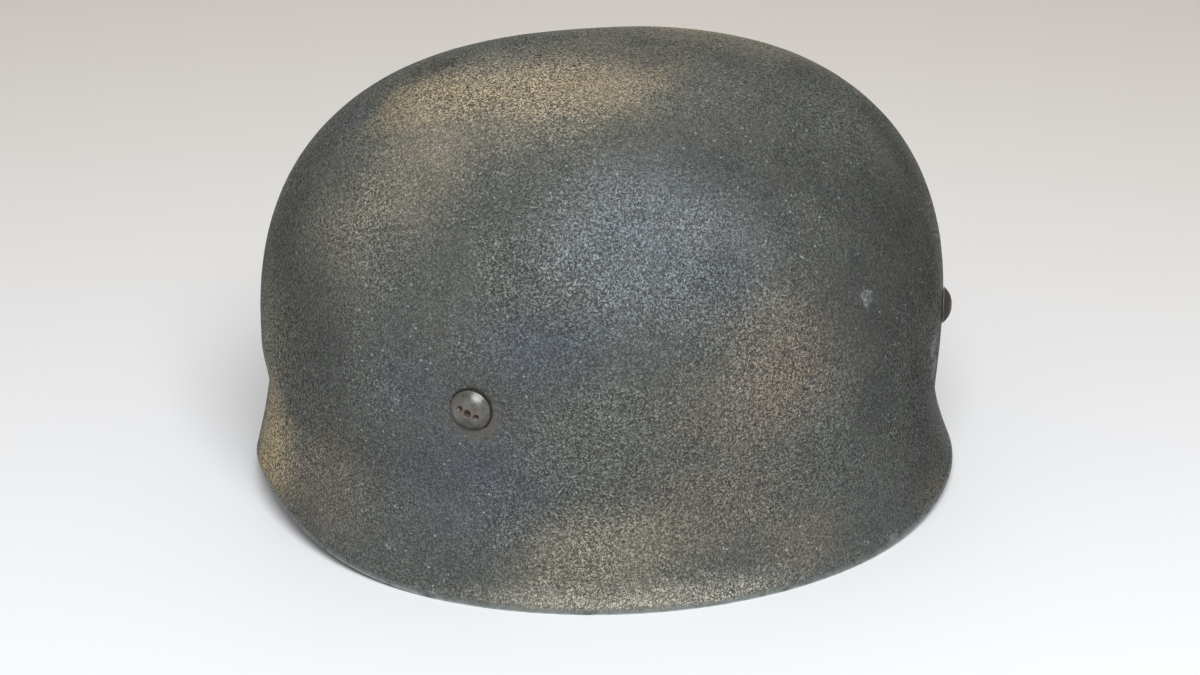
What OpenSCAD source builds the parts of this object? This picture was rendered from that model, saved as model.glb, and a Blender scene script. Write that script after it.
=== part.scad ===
// Paratrooper helmet with a rimless steel shell, a riveted leather liner and a forked leather harness.
// +X points to the front of the helmet, +Y to the wearer's left, +Z up. The rim rests on Z = 0.

/* [Steel shell] */
// Height of the crown above the plane the rim rests on
height = 161.5; // [150:0.5:175]
// Reach of the dome from its centre line to the front
reach_front = 127; // [120:0.5:135]
// Reach of the dome from its centre line to the rear
reach_rear = 128; // [120:0.5:136]
// Half of the dome's width
half_width = 112.5; // [107:0.5:118]
// Thickness of the steel
wall = 1.2; // [1:0.1:2]
// Height at which the dome is widest
widest_z = 56; // [52:0.5:60]
// Height of the waist above the flare, at the sides and the rear
waist_z = 34; // [30:0.5:38]
// Height of the waist above the flare, at the front
waist_z_front = 38.5; // [34:0.5:44]
// How far the waist is drawn in at the front
pinch_front = 2.2; // [0:0.1:4]
// How far the waist is drawn in at the rear
pinch_rear = 0.5; // [0:0.1:3]
// How far the rim flares out at the sides
flare_side = 8.3; // [5:0.1:11]
// How far the rim flares out at the front
flare_front = 5.5; // [3:0.1:9]
// How far the rim flares out at the rear
flare_rear = 9.8; // [6:0.1:13]
// How far the rim lifts off the ground at the front
lift_front = 9.8; // [4:0.1:14]
// How far the rim lifts off the ground at the rear
lift_rear = 5; // [2:0.1:8]

/* [Bolts] */
// Height of the four bolts
bolt_z = 67.5; // [64:0.5:72]
// Plan angle of the front bolts, from the front
bolt_angle_front = 51; // [46:0.5:54]
// Plan angle of the rear bolts, from the rear
bolt_angle_rear = 28; // [24:0.5:32]
// Diameter of the domed head
head_d = 13.6; // [12:0.1:16]
// Height of the domed head
head_h = 3.2; // [2:0.1:4]
// Diameter of the threaded shank
shank_d = 7; // [6:0.1:8]
// Diameter of the vent hole along the bolt
vent_d = 2.2; // [1.6:0.1:2.8]
// Diameter of the two spanner pits
pit_d = 1.8; // [1.4:0.1:2.2]
// Distance of a spanner pit from the middle of the head
pit_reach = 2.9; // [2.6:0.1:3.4]

/* [Liner] */
// Distance from the outside of the shell to the metal band
band_depth = 13; // [12:0.5:15]
// Thickness of the metal band
band_t = 1.5; // [1:0.1:2]
// Height of the band's lower edge
band_z = 52; // [50:0.5:54]
// Height of the band itself
band_h = 30; // [28:1:34]
// Thickness of the foam headband
foam_t = 7.7; // [6:0.1:9]
// Thickness of the leather
leather_t = 2; // [1.2:0.1:2.4]
// Depth of the leather folded up outside the band
fold_h = 6; // [4:0.5:7]
// Thickness of the foam pad over the crown
crown_pad_t = 9; // [6:0.5:12]
// Number of rivets around the liner's lower edge
rivet_count = 16; // [12:1:20]

/* [Harness] */
// Width of the harness straps
strap_w = 16; // [14:0.5:18]
// Thickness of the harness straps
strap_t = 2.2; // [1.8:0.1:2.4]
// How far the straps emerge inside the liner
root_inset = 9.4; // [8.5:0.1:12]
// Height of the straps' fold line
fold_z = 44; // [42:0.5:45]
// Plan angle at which the front straps emerge, from the front
root_angle_front = 56; // [54:0.5:60]
// Plan angle at which the rear straps emerge, from the rear
root_angle_rear = 42; // [40:0.5:48]
// Length of the forked straps from the fold line to where they join
fork_h = 60; // [52:1:62]
// Length of the chin strap's plain half
chin_length = 103; // [92:1:104]
// Length of the chin strap's buckle half
buckle_half_length = 72; // [60:1:76]
// Diameter of the wire of the loops and the buckle
wire_d = 2.5; // [2:0.1:2.8]

/* [Hidden] */

// Gap between curved faces that lie against each other
gap = 0.3;
// Radial clearance of a pin or shank in its hole
running = 0.05;
// Clearance of a piece that slides along a strap
slip = 0.3;
// Play between pieces stacked on a bolt, and between leathers sewn on each other
play = 0.2;
seam = 0.1;
// Room that a flat face needs on a curved one
seat = 0.6;
// How far a cutter passes the faces that it cuts, and how far joined shapes of one piece overlap
over = 1;
weld = 0.2;

// Exponents of the dome's profile and of the flare
dome_power_side = 2.1;
dome_power_front = 2.56;
dome_power_rear = 2.58;
flare_power = 1.4;
flare_power_front = 1.2;
brim_spread = 9.5;
rear_lift_start = 0.35;
pole_power = 0.87;

// Columns and rows of the curved skins
shell_columns = 72;
liner_columns = 48;
skirt_rows = 7;
dome_rows = 12;
liner_rows = 9;

// The box of the whole helmet is centred on the origin
rim_front = reach_front + max(0, flare_front - pinch_front);
rim_rear = reach_rear + max(0, flare_rear - pinch_rear);
centre_x = (rim_rear - rim_front) / 2;

// Depths below the outside of the shell, from the steel to the head
fold_face = band_depth - gap - leather_t;
foam_face = band_depth + band_t + gap;
leather_face = foam_face + foam_t + gap;
head_face = leather_face + leather_t;
foam_z = band_z + gap;
foam_low = 2;
foam_top = band_z + band_h - foam_low;
leather_z = band_z - gap - leather_t;

// Places along a bolt, measured inwards from the outside of the shell
washer_s = wall + seat;
washer_t = 1.2;
washer_d = 15;
strap_s = washer_s + washer_t + play;
eyelet_d = 9;
bush_s = strap_s + strap_t + play;
bush_d = 13;
bush_end = band_depth - 0.5;
nut_s = band_depth + band_t + seat;
nut_t = 2;
nut_d = 15;
nut_web = 1;
spanner_slot_w = 1.6;
spanner_slot_depth = 1;
shank_end = nut_s + nut_t + seat;
pocket_d = nut_d + 2;
pit_depth = 1.6;
shell_cut = 20;

// Rivets
rivet_d = 3;
rivet_head_d = 6;
rivet_head_h = 0.8;
rivet_seat = 0.5;

function clamp01(x) = max(0, min(1, x));
function smooth(x) = x * x * (3 - 2 * x);
function unit(a) = a / norm(a);
function lerp(a, b, t) = a + (b - a) * t;
function along(c, side, front, rear) = side + (c > 0 ? front - side : rear - side) * c * c;
function brim(c, side, front, rear, m) =
    side + (c > 0 ? (front - side) * pow(c, m) : (rear - side) * c * c);
function reach(c) = c > 0 ? reach_front : reach_rear;

// Height of the rim at a plan angle whose cosine is c
function rim_height(c) = c > 0
    ? lift_front * pow(c, brim_spread)
    : lift_rear * smooth(clamp01((-c - rear_lift_start) / (1 - rear_lift_start)));

// Point at plan angle v and height z, a depth d inside the shell's outer face
function wall_point(v, z, d = 0) =
    let (
        c = cos(v), s = sin(v),
        px = (reach(c) - d) * c, py = (half_width - d) * s, r = norm([px, py]),
        n = along(c, dome_power_side, dome_power_front, dome_power_rear),
        t = clamp01((z - widest_z) / (height - d - widest_z)),
        rho = pow(max(0, 1 - pow(t, n)), 1 / n),
        waist = brim(c, waist_z, waist_z_front, waist_z, 2),
        pinch = along(c, 0, pinch_front, pinch_rear)
            * smooth(clamp01((widest_z - z) / (widest_z - waist))),
        flare = brim(c, flare_side, flare_front, flare_rear, brim_spread)
            * pow(clamp01((waist - z) / (waist - rim_height(c))),
                brim(c, flare_power, flare_power_front, flare_power, 2)),
        off = flare - pinch
    )
    [centre_x + px * rho + px / r * off, py * rho + py / r * off, z];

// Direction in plan in which the shell's face points
function facing(v) = atan2(sin(v) / half_width, cos(v) / reach(cos(v)));
function outward(v) = [cos(facing(v)), sin(facing(v)), 0];

// Heights of the rings of a dome a depth d inside the shell's face, without its top point
function dome_heights(d, rows) =
    [for (k = concat([0.5], [for (i = [1 : rows - 1]) i]))
        widest_z + (height - d - widest_z) * pow(sin(90 * k / rows), pole_power)];
function turned(list) = [for (k = [len(list) - 1 : -1 : 0]) list[k]];

// Faces between rings of n points, ring after ring. A ring runs counterclockwise seen from the next ring.
function side_faces(rings, n, closed = false) =
    [for (j = [0 : (closed ? rings - 1 : rings - 2)]) for (i = [0 : n - 1])
        let (a = j * n, b = ((j + 1) % rings) * n, k = (i + 1) % n)
        each [[a + i, b + i, b + k], [a + i, b + k, a + k]]];

// Solid through a row of closed outlines of n points, with flat ends or joined end to end
module sweep(outlines, closed = false) {
    n = len(outlines[0]);
    m = len(outlines);
    start = [for (i = [0 : n - 1]) i];
    end = [for (i = [n - 1 : -1 : 0]) (m - 1) * n + i];
    polyhedron(
        points = [for (o = outlines) each o],
        faces = concat(side_faces(m, n, closed), closed ? [] : [start, end]),
        convexity = 6
    );
}

// Closed cup: a list of [depth, height] from just under the inner top point, round the
// lower edge, to just under the outer top point. A third value is a share of the way up from
// the rim to the widest height, in place of the height.
module cup(path, inner_d, outer_d, columns) {
    m = len(path);
    rings = [for (p = path) [for (i = [0 : columns - 1])
        let (v = 360 * i / columns, low = rim_height(cos(v)))
        wall_point(v, p[2] == undef ? p[1] : low + (widest_z - low) * p[2], p[0])]];
    points = concat([for (r = rings) each r],
        [[centre_x, 0, height - inner_d], [centre_x, 0, height - outer_d]]);
    inner_top = [for (i = [0 : columns - 1]) [m * columns, i, (i + 1) % columns]];
    outer_top = [for (i = [0 : columns - 1])
        [(m - 1) * columns + i, m * columns + 1, (m - 1) * columns + (i + 1) % columns]];
    polyhedron(points = points, faces = concat(side_faces(m, columns), inner_top, outer_top),
        convexity = 8);
}

// Curved bar that follows the shell from plan angle v1 to v2. Its section is a list of [depth, height].
module bar(section, v1, v2, steps) {
    sweep([for (i = [0 : steps]) let(v = lerp(v1, v2, i / steps))
        [for (p = turned(section)) wall_point(v, p[1], p[0])]]);
}

// The same section carried all the way round
module hoop(section) {
    sweep([for (i = [0 : liner_columns - 1])
        [for (p = turned(section)) wall_point(360 * i / liner_columns, p[1], p[0])]], closed = true);
}

// Section of a bar or hoop between two depths and two heights, in steps that follow the dome's curve.
// The inner face may start and end at heights of its own.
section_steps = 4;
function section(inner, outer, low, high, drop = 0) = concat(
    [for (k = [0 : section_steps]) [outer, lerp(low, high, k / section_steps)]],
    [for (k = [section_steps : -1 : 0]) [inner, lerp(low, high - drop, k / section_steps)]]
);

// Puts a piece on a bolt's axis, with its +Z pointing out of the helmet at the shell's face
function lean(v) =
    let(low = wall_point(v, bolt_z - head_d / 2), high = wall_point(v, bolt_z + head_d / 2))
    atan2((low - high) * outward(v), head_d);
function bolt_axis(v) = [cos(facing(v)) * cos(lean(v)), sin(facing(v)) * cos(lean(v)), sin(lean(v))];
module on_bolt(v) {
    translate(wall_point(v, bolt_z)) rotate([0, 90 - lean(v), facing(v)]) children();
}

// The same places for all four bolts
bolt_angles = [bolt_angle_front, -bolt_angle_front, 180 - bolt_angle_rear, bolt_angle_rear - 180];

module steel_shell() {
    skirt = [for (k = [0 : skirt_rows]) k / skirt_rows];
    path = concat(
        [for (z = turned(dome_heights(wall, dome_rows))) [wall, z]],
        [for (f = turned(skirt)) [wall, 0, f]],
        [for (f = skirt) [0, 0, f]],
        [for (z = dome_heights(0, dome_rows)) [0, z]]
    );
    color("#4d5348") difference() {
        cup(path, wall, 0, shell_columns);
        for (v = bolt_angles) on_bolt(v)
            translate([0, 0, -shell_cut / 2]) cylinder(d = shank_d + 2 * running, h = shell_cut, $fn = 48);
    }
}

// Hollow bolt with a domed head, a vent hole and two pits for a pin spanner
module bolt(v, turn) {
    ball = (head_d * head_d / 4 + head_h * head_h) / (2 * head_h);
    color("#4b4741") on_bolt(v) difference() {
        union() {
            rotate_extrude($fn = 64) intersection() {
                translate([0, head_h - ball]) circle(r = ball, $fn = 128);
                square([head_d / 2, head_h]);
            }
            translate([0, 0, -shank_end]) cylinder(d = shank_d, h = shank_end + weld, $fn = 48);
        }
        translate([0, 0, -shank_end - over])
            cylinder(d = vent_d, h = shank_end + head_h + 2 * over, $fn = 32);
        for (side = [-1, 1]) rotate([0, 0, turn]) translate([0, side * pit_reach, head_h - pit_depth])
            cylinder(d = pit_d, h = pit_depth + over, $fn = 24);
    }
}

module front_left_bolt() { bolt(bolt_angles[0], -22); }
module front_right_bolt() { bolt(bolt_angles[1], -35); }
module rear_left_bolt() { bolt(bolt_angles[2], 60); }
module rear_right_bolt() { bolt(bolt_angles[3], -10); }

// Round nut inside the band, slotted for a fork spanner
module nut(v) {
    color("#8d8b84") on_bolt(v) difference() {
        translate([0, 0, -nut_s - nut_t]) cylinder(d = nut_d, h = nut_t, $fn = 48);
        translate([0, 0, -nut_s - nut_t - over])
            cylinder(d = shank_d + 2 * running, h = nut_t + 2 * over, $fn = 48);
        for (side = [0, 180]) rotate([0, 0, side])
            translate([shank_d / 2 + nut_web, -spanner_slot_w / 2, -nut_s - nut_t - over])
                cube([nut_d / 2, spanner_slot_w, over + spanner_slot_depth]);
    }
}

module front_left_nut() { nut(bolt_angles[0]); }
module front_right_nut() { nut(bolt_angles[1]); }
module rear_left_nut() { nut(bolt_angles[2]); }
module rear_right_nut() { nut(bolt_angles[3]); }

// Ring on a bolt's shank, from one place to the next
module on_shank(v, s, t, d) {
    on_bolt(v) difference() {
        translate([0, 0, -s - t]) cylinder(d = d, h = t, $fn = 48);
        translate([0, 0, -s - t - over]) cylinder(d = shank_d + 2 * running, h = t + 2 * over, $fn = 48);
    }
}

module bolt_washers() {
    color("#77756f") for (v = bolt_angles) on_shank(v, washer_s, washer_t, washer_d);
}

module spacer_bushes() {
    color("#26241f") for (v = bolt_angles) on_shank(v, bush_s, bush_end - bush_s, bush_d);
}

// Places of the rivets around the liner, kept off the bolts
rivet_angles = [for (i = [0 : rivet_count - 1]) 360 * (i + 0.5) / rivet_count];
rivet_rise = 1;
rivet_z = leather_z + (fold_h + leather_t) / 2 + rivet_rise;

module on_rivet(v) {
    translate(wall_point(v, rivet_z, fold_face)) rotate([0, 90, facing(v)]) children();
}

// Joint of the band's two ends
joint_v = [-74, -62];
joint_low = 10;
joint_high = 4;
joint_z = [band_z + joint_low, band_z + band_h - joint_high];
joint_edge_v = 3;
joint_edge_z = 3.5;
joint_rivets = [for (v = [joint_v[0] + joint_edge_v, joint_v[1] - joint_edge_v])
    for (z = [joint_z[0] + joint_edge_z, joint_z[1] - joint_edge_z]) [v, z]];
joint_plate_t = 1.2;
joint_plate_face = band_depth - gap - joint_plate_t;

module on_joint_rivet(p) {
    translate(wall_point(p[0], p[1], joint_plate_face)) rotate([0, 90, facing(p[0])]) children();
}

module rivet_hole(length) {
    translate([0, 0, -length]) cylinder(d = rivet_d + 2 * running, h = length + 2 * over, $fn = 24);
}

module liner_band() {
    color("#a7a8a5") difference() {
        hoop(section(band_depth + band_t, band_depth, band_z, band_z + band_h));
        for (v = bolt_angles) on_bolt(v)
            translate([0, 0, -foam_face - 2 * over])
                cylinder(d = shank_d + 2 * running, h = foam_face, $fn = 48);
        for (v = rivet_angles) on_rivet(v) rivet_hole(leather_t + band_t + 2 * over);
        for (p = joint_rivets) on_joint_rivet(p) rivet_hole(joint_plate_t + band_t + 2 * over);
    }
}

module band_joint_plate() {
    color("#9b9c99") difference() {
        bar(section(band_depth - gap, joint_plate_face, joint_z[0], joint_z[1]), joint_v[0], joint_v[1], 4);
        for (p = joint_rivets) on_joint_rivet(p) rivet_hole(joint_plate_t + 2 * over);
    }
}

// Rivet with a head on each side of a stack of thickness t
module rivet(t) {
    cylinder(d1 = rivet_head_d, d2 = rivet_head_d * 0.6, h = rivet_head_h, $fn = 24);
    translate([0, 0, -t]) cylinder(d = rivet_d, h = t + weld, $fn = 24);
}

module band_joint_rivets() {
    color("#b4b4b0") for (p = joint_rivets) on_joint_rivet(p)
        translate([0, 0, rivet_seat]) rivet(joint_plate_t + gap + band_t + rivet_seat);
}

// Rubber pads that hold the band off the shell
pad_low = 8;
pad_high = 4;
pad_z = [band_z + pad_low, band_z + band_h - pad_high];
module pad(v1, v2) {
    color("#2b2a28") bar(section(band_depth - gap, wall + gap, pad_z[0], pad_z[1]), v1, v2, 8);
}
module front_pad() { pad(-22, 22); }
module rear_pad() { pad(170, 190); }
module left_pad() { pad(78, 102); }
module right_pad() { pad(-102, -78); }

// The headband's inner edge lies lower than its outer edge
foam_slant = 1;
module foam_headband() {
    color("#8a8577") difference() {
        hoop(section(foam_face + foam_t, foam_face, foam_z, foam_top, foam_slant));
        for (v = bolt_angles) on_bolt(v)
            translate([0, 0, -head_face]) cylinder(d = pocket_d, h = head_face, $fn = 48);
    }
}

// Foam pad that lies on the top of the leather dome, and how far it reaches down from that top
crown_low = 9;
module crown_pad() {
    under = leather_face - gap;
    over = under - crown_pad_t;
    edge = height - under - crown_low;
    path = concat(
        [for (z = turned(dome_heights(under, liner_rows))) if (z > edge) [under, z]],
        [[under, edge], [over + crown_pad_t / 2, edge + crown_pad_t / 2]],
        [for (z = dome_heights(over, liner_rows)) if (z > edge + crown_pad_t) [over, z]]
    );
    color("#7d776a") cup(path, under, over, liner_columns);
}

// Leather dome whose lower edge passes under the foam and folds up outside the band
module leather_liner() {
    path = concat(
        [for (z = turned(dome_heights(head_face, liner_rows))) [head_face, z]],
        [[head_face, widest_z], [head_face, leather_z], [fold_face, leather_z],
            [fold_face, band_z + fold_h], [band_depth - gap, band_z + fold_h],
            [band_depth - gap, band_z - gap], [leather_face, band_z - gap], [leather_face, widest_z]],
        [for (z = dome_heights(leather_face, liner_rows)) [leather_face, z]]
    );
    color("#8a6238") difference() {
        cup(path, head_face, leather_face, liner_columns);
        for (v = rivet_angles) on_rivet(v) rivet_hole(leather_t + over);
    }
}

module liner_rivets() {
    color("#b4b4b0") for (v = rivet_angles) on_rivet(v)
        translate([0, 0, gap]) rivet(leather_t + gap + band_t + gap);
}

// Fold line of the left harness, from the rear root to the front root
front_root = wall_point(root_angle_front, widest_z, head_face + root_inset);
rear_root = wall_point(180 - root_angle_rear, widest_z, head_face + root_inset);
fold_span = norm(front_root - rear_root);
fold_dir = (front_root - rear_root) / fold_span;
fold_turn = atan2(fold_dir[1], fold_dir[0]);
fold_out = [-fold_dir[1], fold_dir[0], 0];
junction_share = 0.48;
fold_mid = lerp(rear_root, front_root, junction_share);
front_arm = fold_span * (1 - junction_share);
rear_arm = fold_span * junction_share;
leg_start = 0.6;
strap_end_gap = 0.5;

// Half of the length over which a sloping strap meets the fold line
function foot(arm) = strap_w / 2 * norm([arm, fork_h]) / fork_h;

// Puts a piece on the left fold line under the junction: +X along the fold, +Y outwards, +Z up
module on_fold() {
    translate([fold_mid[0], fold_mid[1], fold_z]) rotate([0, 0, fold_turn]) children();
}

// Strap end that hangs on a bolt, comes down behind the band and passes under the liner's edge.
// Each step is a point and the direction in which the strap's outer face points.
strap_centre = strap_s + strap_t / 2;
tail = 9;
run_drop = 2.4;
turn_in = 2.5;
turn_bulge = 0.6;
function strap_steps(bolt_v, root_v, root) =
    let (
        out = bolt_axis(bolt_v),
        top = wall_point(bolt_v, bolt_z) - out * strap_centre,
        low = wall_point(root_v, leather_z, strap_centre),
        fall = low - top,
        way = unit(fall - out * (fall * out)),
        run_z = leather_z - run_drop,
        turn = wall_point(root_v, run_z, strap_centre + turn_in),
        end = [root[0], root[1], fold_z] + fold_out * (strap_t / 2 + strap_end_gap)
    )
    [
        [top - way * tail, out],
        [top, out],
        [top + way * tail, out],
        [low, outward(root_v)],
        [lerp(low, turn, 0.5) + outward(root_v) * turn_bulge, unit(outward(root_v) - [0, 0, 1])],
        [turn, [0, 0, -1]],
        [lerp(turn, end, 0.5), [0, 0, -1]],
        [end, [0, 0, -1]]
    ];

function strap_outline(steps, i, half_foot) =
    let (
        last = len(steps) - 1,
        p = steps[i][0],
        way = unit(steps[min(i + 1, last)][0] - steps[max(i - 1, 0)][0]),
        flat = i < 2 ? unit(steps[2][0] - steps[0][0]) : way,
        side = i == last ? -fold_dir * half_foot : unit(cross(steps[i][1], flat)) * strap_w / 2,
        face = (i == last ? [0, 0, -1] : unit(cross(flat, unit(side)))) * strap_t / 2
    )
    [p + side + face, p - side + face, p - side - face, p + side - face];

module strap_end(bolt_v, root_v, root, arm) {
    steps = strap_steps(bolt_v, root_v, root);
    color("#5e4026") difference() {
        sweep([for (i = [0 : len(steps) - 1]) strap_outline(steps, i, foot(arm))]);
        on_bolt(bolt_v) translate([0, 0, -strap_s - strap_t - over])
            cylinder(d = eyelet_d, h = strap_t + 2 * over, $fn = 48);
    }
}

module front_left_strap_end() { strap_end(bolt_angles[0], root_angle_front, front_root, front_arm); }
module rear_left_strap_end() { strap_end(bolt_angles[2], 180 - root_angle_rear, rear_root, rear_arm); }
module front_right_strap_end() { mirror([0, 1, 0]) front_left_strap_end(); }
module rear_right_strap_end() { mirror([0, 1, 0]) rear_left_strap_end(); }

// Metal eyelets in the strap ends
module strap_eyelets() {
    color("#8b7a4a") for (v = bolt_angles)
        on_shank(v, strap_s - play / 2, strap_t + play, eyelet_d - 2 * running);
}

// Flat outline of a forked strap in the plane of the fold, cut at the fold line and at the seam
module leg_outline(arm) {
    slope = atan2(arm, fork_h);
    intersection() {
        translate([arm, 0]) rotate(slope) translate([-strap_w / 2, -strap_w]) square([strap_w, 3 * fork_h]);
        translate([gap / 2, leg_start]) square([2 * fold_span, fork_h - leg_start]);
    }
}

// Rivets of the junction: one through each strap, and how far they lie below the straps' upper ends
junction_rivet_x = 7;
junction_rivet_drop = 9;
junction_cut = 10;
module on_junction_rivets() {
    for (side = [-1, 1]) translate([side * junction_rivet_x, 0, fork_h - junction_rivet_drop])
        rotate([90, 0, 0]) children();
}
module junction_holes() {
    on_junction_rivets() translate([0, 0, -junction_cut / 2])
        cylinder(d = rivet_d + 2 * running, h = junction_cut, $fn = 24);
}

// Junction: a leather patch sewn over both straps holds a wire loop, and the chin strap hangs in the loop.
// A bar's place is [across, up], seen along the fold line.
patch_t = 1.6;
patch_in = strap_t / 2 + seam;
patch_w = 24;
patch_drop = 17;
patch_top = 1;
tab_lap = 2;
loop_rise = 4.5;
loop_lean = 4;
loop_h = 6.5;
loop_play = 1;
sleeve_wall = 1.4;
patch_low = fork_h - patch_drop;
lower_bar = [-patch_in - patch_t / 2, fork_h + loop_rise];
upper_bar = lower_bar + [-loop_lean, loop_h];
sleeve_r = wire_d / 2 + running + sleeve_wall;
loop_w = strap_w + 2 * wire_d + loop_play;

// Height of a dome a depth d inside the shell's face, over a place p in plan
function dome_z(p, d) =
    let (
        x = p[0] - centre_x, h = [x / (reach(x) - d), p[1] / (half_width - d)],
        c = h[0] / norm(h),
        n = along(c, dome_power_side, dome_power_front, dome_power_rear)
    )
    widest_z + (height - d - widest_z) * pow(max(0, 1 - pow(norm(h), n)), 1 / n);

// A tucked-up fork stands upright where the dome has room for its loop, and else leans in until it has.
// bar_at gives the upper bar's place at a lean, and loop_room the least room over the loop's two ends.
loop_room = 1;
function bar_at(lean) = [
    upper_bar[0] * cos(lean) - upper_bar[1] * sin(lean),
    upper_bar[0] * sin(lean) + upper_bar[1] * cos(lean)
];
function room(lean) = min([for (side = [-1, 1])
    let (
        corner = bar_at(lean) + sleeve_r * [sin(45), cos(45)],
        p = fold_mid + fold_dir * side * loop_w / 2 + fold_out * corner[0]
    )
    dome_z(p, head_face) - fold_z - corner[1]]);
fork_lean = [for (lean = [0 : 0.5 : 60]) if (room(lean) > loop_room) lean][0];
module on_fork() { on_fold() rotate([fork_lean, 0, 0]) children(); }

// Forked strap: the front one points to +X, the rear one to -X
module leg(arm, side) {
    color("#5e4026") on_fork() difference() {
        rotate([90, 0, 0]) translate([0, 0, -strap_t / 2]) linear_extrude(strap_t)
            if (side > 0) leg_outline(arm);
            else mirror([1, 0]) leg_outline(arm);
        junction_holes();
    }
}

module left_front_strap() { leg(front_arm, 1); }
module left_rear_strap() { leg(rear_arm, -1); }
module right_front_strap() { mirror([0, 1, 0]) left_front_strap(); }
module right_rear_strap() { mirror([0, 1, 0]) left_rear_strap(); }

module left_junction_patch() {
    color("#674828") on_fork() difference() {
        union() {
            translate([-patch_w / 2, -patch_in - patch_t, patch_low])
                cube([patch_w, patch_t, fork_h - patch_low - patch_top]);
            translate([-strap_w / 2, -patch_in - patch_t, fork_h - tab_lap])
                cube([strap_w, patch_t, lower_bar[1] - fork_h + tab_lap]);
            translate([-strap_w / 2, lower_bar[0], lower_bar[1]]) rotate([0, 90, 0])
                cylinder(r = sleeve_r, h = strap_w, $fn = 32);
        }
        translate([-strap_w, lower_bar[0], lower_bar[1]]) rotate([0, 90, 0])
            cylinder(r = wire_d / 2 + running, h = 2 * strap_w, $fn = 32);
        junction_holes();
    }
}
module right_junction_patch() { mirror([0, 1, 0]) left_junction_patch(); }

// Wire loop with two bars along X and two cheeks, each bar at a place [across, up]
module wire_loop(first, second, width) {
    slant = atan2(second[0] - first[0], second[1] - first[1]);
    rise = norm(second - first);
    translate([0, first[0], first[1]]) rotate([-slant, 0, 0]) {
        for (z = [0, rise]) translate([-width / 2 + wire_d / 2, 0, z]) rotate([0, 90, 0])
            cylinder(d = wire_d, h = width - wire_d, $fn = 24);
        for (side = [-1, 1]) translate([side * (width - wire_d) / 2, 0, 0]) {
            cylinder(d = wire_d, h = rise, $fn = 24);
            for (z = [0, rise]) translate([0, 0, z]) sphere(d = wire_d, $fn = 24);
        }
    }
}

module left_junction_loop() { color("#6d6a63") on_fork() wire_loop(lower_bar, upper_bar, loop_w); }
module right_junction_loop() { mirror([0, 1, 0]) left_junction_loop(); }

module left_junction_rivets() {
    stack = strap_t + seam + patch_t + 2 * running;
    color("#a89a70") on_fork() on_junction_rivets() translate([0, 0, patch_in + patch_t + running]) {
        rivet(stack);
        translate([0, 0, -stack - rivet_head_h]) cylinder(d = rivet_head_d, h = rivet_head_h, $fn = 24);
    }
}
module right_junction_rivets() { mirror([0, 1, 0]) left_junction_rivets(); }

// Adjuster: a metal slide on the rear strap, its middle a given share of the way up
adjuster_share = 0.42;
adjuster_h = 9;
adjuster_rim = 2.6;
adjuster_wall = 1.2;
adjuster_t = strap_t + 2 * slip + 2 * adjuster_wall;
module left_adjuster() {
    slope = atan2(rear_arm, fork_h);
    color("#6d6a63") on_fork() translate([-rear_arm * (1 - adjuster_share), 0, fork_h * adjuster_share])
        rotate([0, slope, 0]) difference() {
            cube([strap_w + 2 * slip + 2 * adjuster_rim, adjuster_t, adjuster_h], center = true);
            cube([strap_w + 2 * slip, strap_t + 2 * slip, adjuster_h + 2 * over], center = true);
        }
}
module right_adjuster() { mirror([0, 1, 0]) left_adjuster(); }

// Chin strap: it hangs plumb in the junction's loop, tangent to its sleeve on the inner side
chin_out = upper_bar[0] - sleeve_r;
chin_t = 2;
module on_chin() {
    hang = bar_at(fork_lean) - upper_bar;
    on_fold() translate([0, hang[0], hang[1]]) children();
}
module chin_sleeve(bar_z, wall_r) {
    translate([-strap_w / 2, upper_bar[0], bar_z]) rotate([0, 90, 0])
        cylinder(r = wall_r, h = strap_w, $fn = 32);
}
module bar_hole(bar_z, across) {
    translate([-strap_w, across, bar_z]) rotate([0, 90, 0])
        cylinder(r = wire_d / 2 + running, h = 2 * strap_w, $fn = 32);
}

// Holes for the prong, and the press stud
hole_pitch = 9;
hole_d = 2.6;
hole_count = 5;
hole_first = 12;
stud_drop = 26;
stud_d = 10;
stud_top_d = 7.5;
stud_h = 1.6;
stud_back_d = 6;
stud_back_h = 0.6;

module left_chin_strap() {
    low = upper_bar[1] - chin_length;
    color("#5e4026") on_chin() difference() {
        union() {
            chin_sleeve(upper_bar[1], sleeve_r);
            translate([-strap_w / 2, chin_out, low + strap_w / 2])
                cube([strap_w, chin_t, chin_length - strap_w / 2]);
            translate([0, chin_out, low + strap_w / 2]) rotate([-90, 0, 0])
                cylinder(d = strap_w, h = chin_t, $fn = 48);
        }
        bar_hole(upper_bar[1], upper_bar[0]);
        for (i = [0 : hole_count - 1]) translate([0, chin_out - over, low + hole_first + hole_pitch * i])
            rotate([-90, 0, 0]) cylinder(d = hole_d, h = chin_t + 2 * over, $fn = 24);
        translate([0, chin_out - over, upper_bar[1] - stud_drop]) rotate([-90, 0, 0])
            cylinder(d = rivet_d + 2 * running, h = chin_t + 2 * over, $fn = 24);
    }
}

module left_chin_stud() {
    color("#8d8b84") on_chin() translate([0, chin_out, upper_bar[1] - stud_drop]) rotate([90, 0, 0]) {
        cylinder(d1 = stud_d, d2 = stud_top_d, h = stud_h, $fn = 48);
        translate([0, 0, -chin_t]) cylinder(d = rivet_d, h = chin_t + weld, $fn = 24);
        translate([0, 0, -chin_t - stud_back_h]) cylinder(d = stud_back_d, h = stud_back_h, $fn = 32);
    }
}

// Buckle half of the chin strap: a second sleeve at its lower end holds the buckle's bar
buckle_z = upper_bar[1] - buckle_half_length;
buckle_h = 15;
buckle_play = 2;
buckle_w = strap_w + 2 * wire_d + buckle_play;
prong_w = 3;
prong_gap = 0.4;
prong_slot = 5;
prong_wall = 0.9;
prong_sleeve_r = wire_d / 2 + running + prong_wall;
prong_tip_w = 2;
prong_t = 1.2;
prong_past = 0.8;

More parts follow.
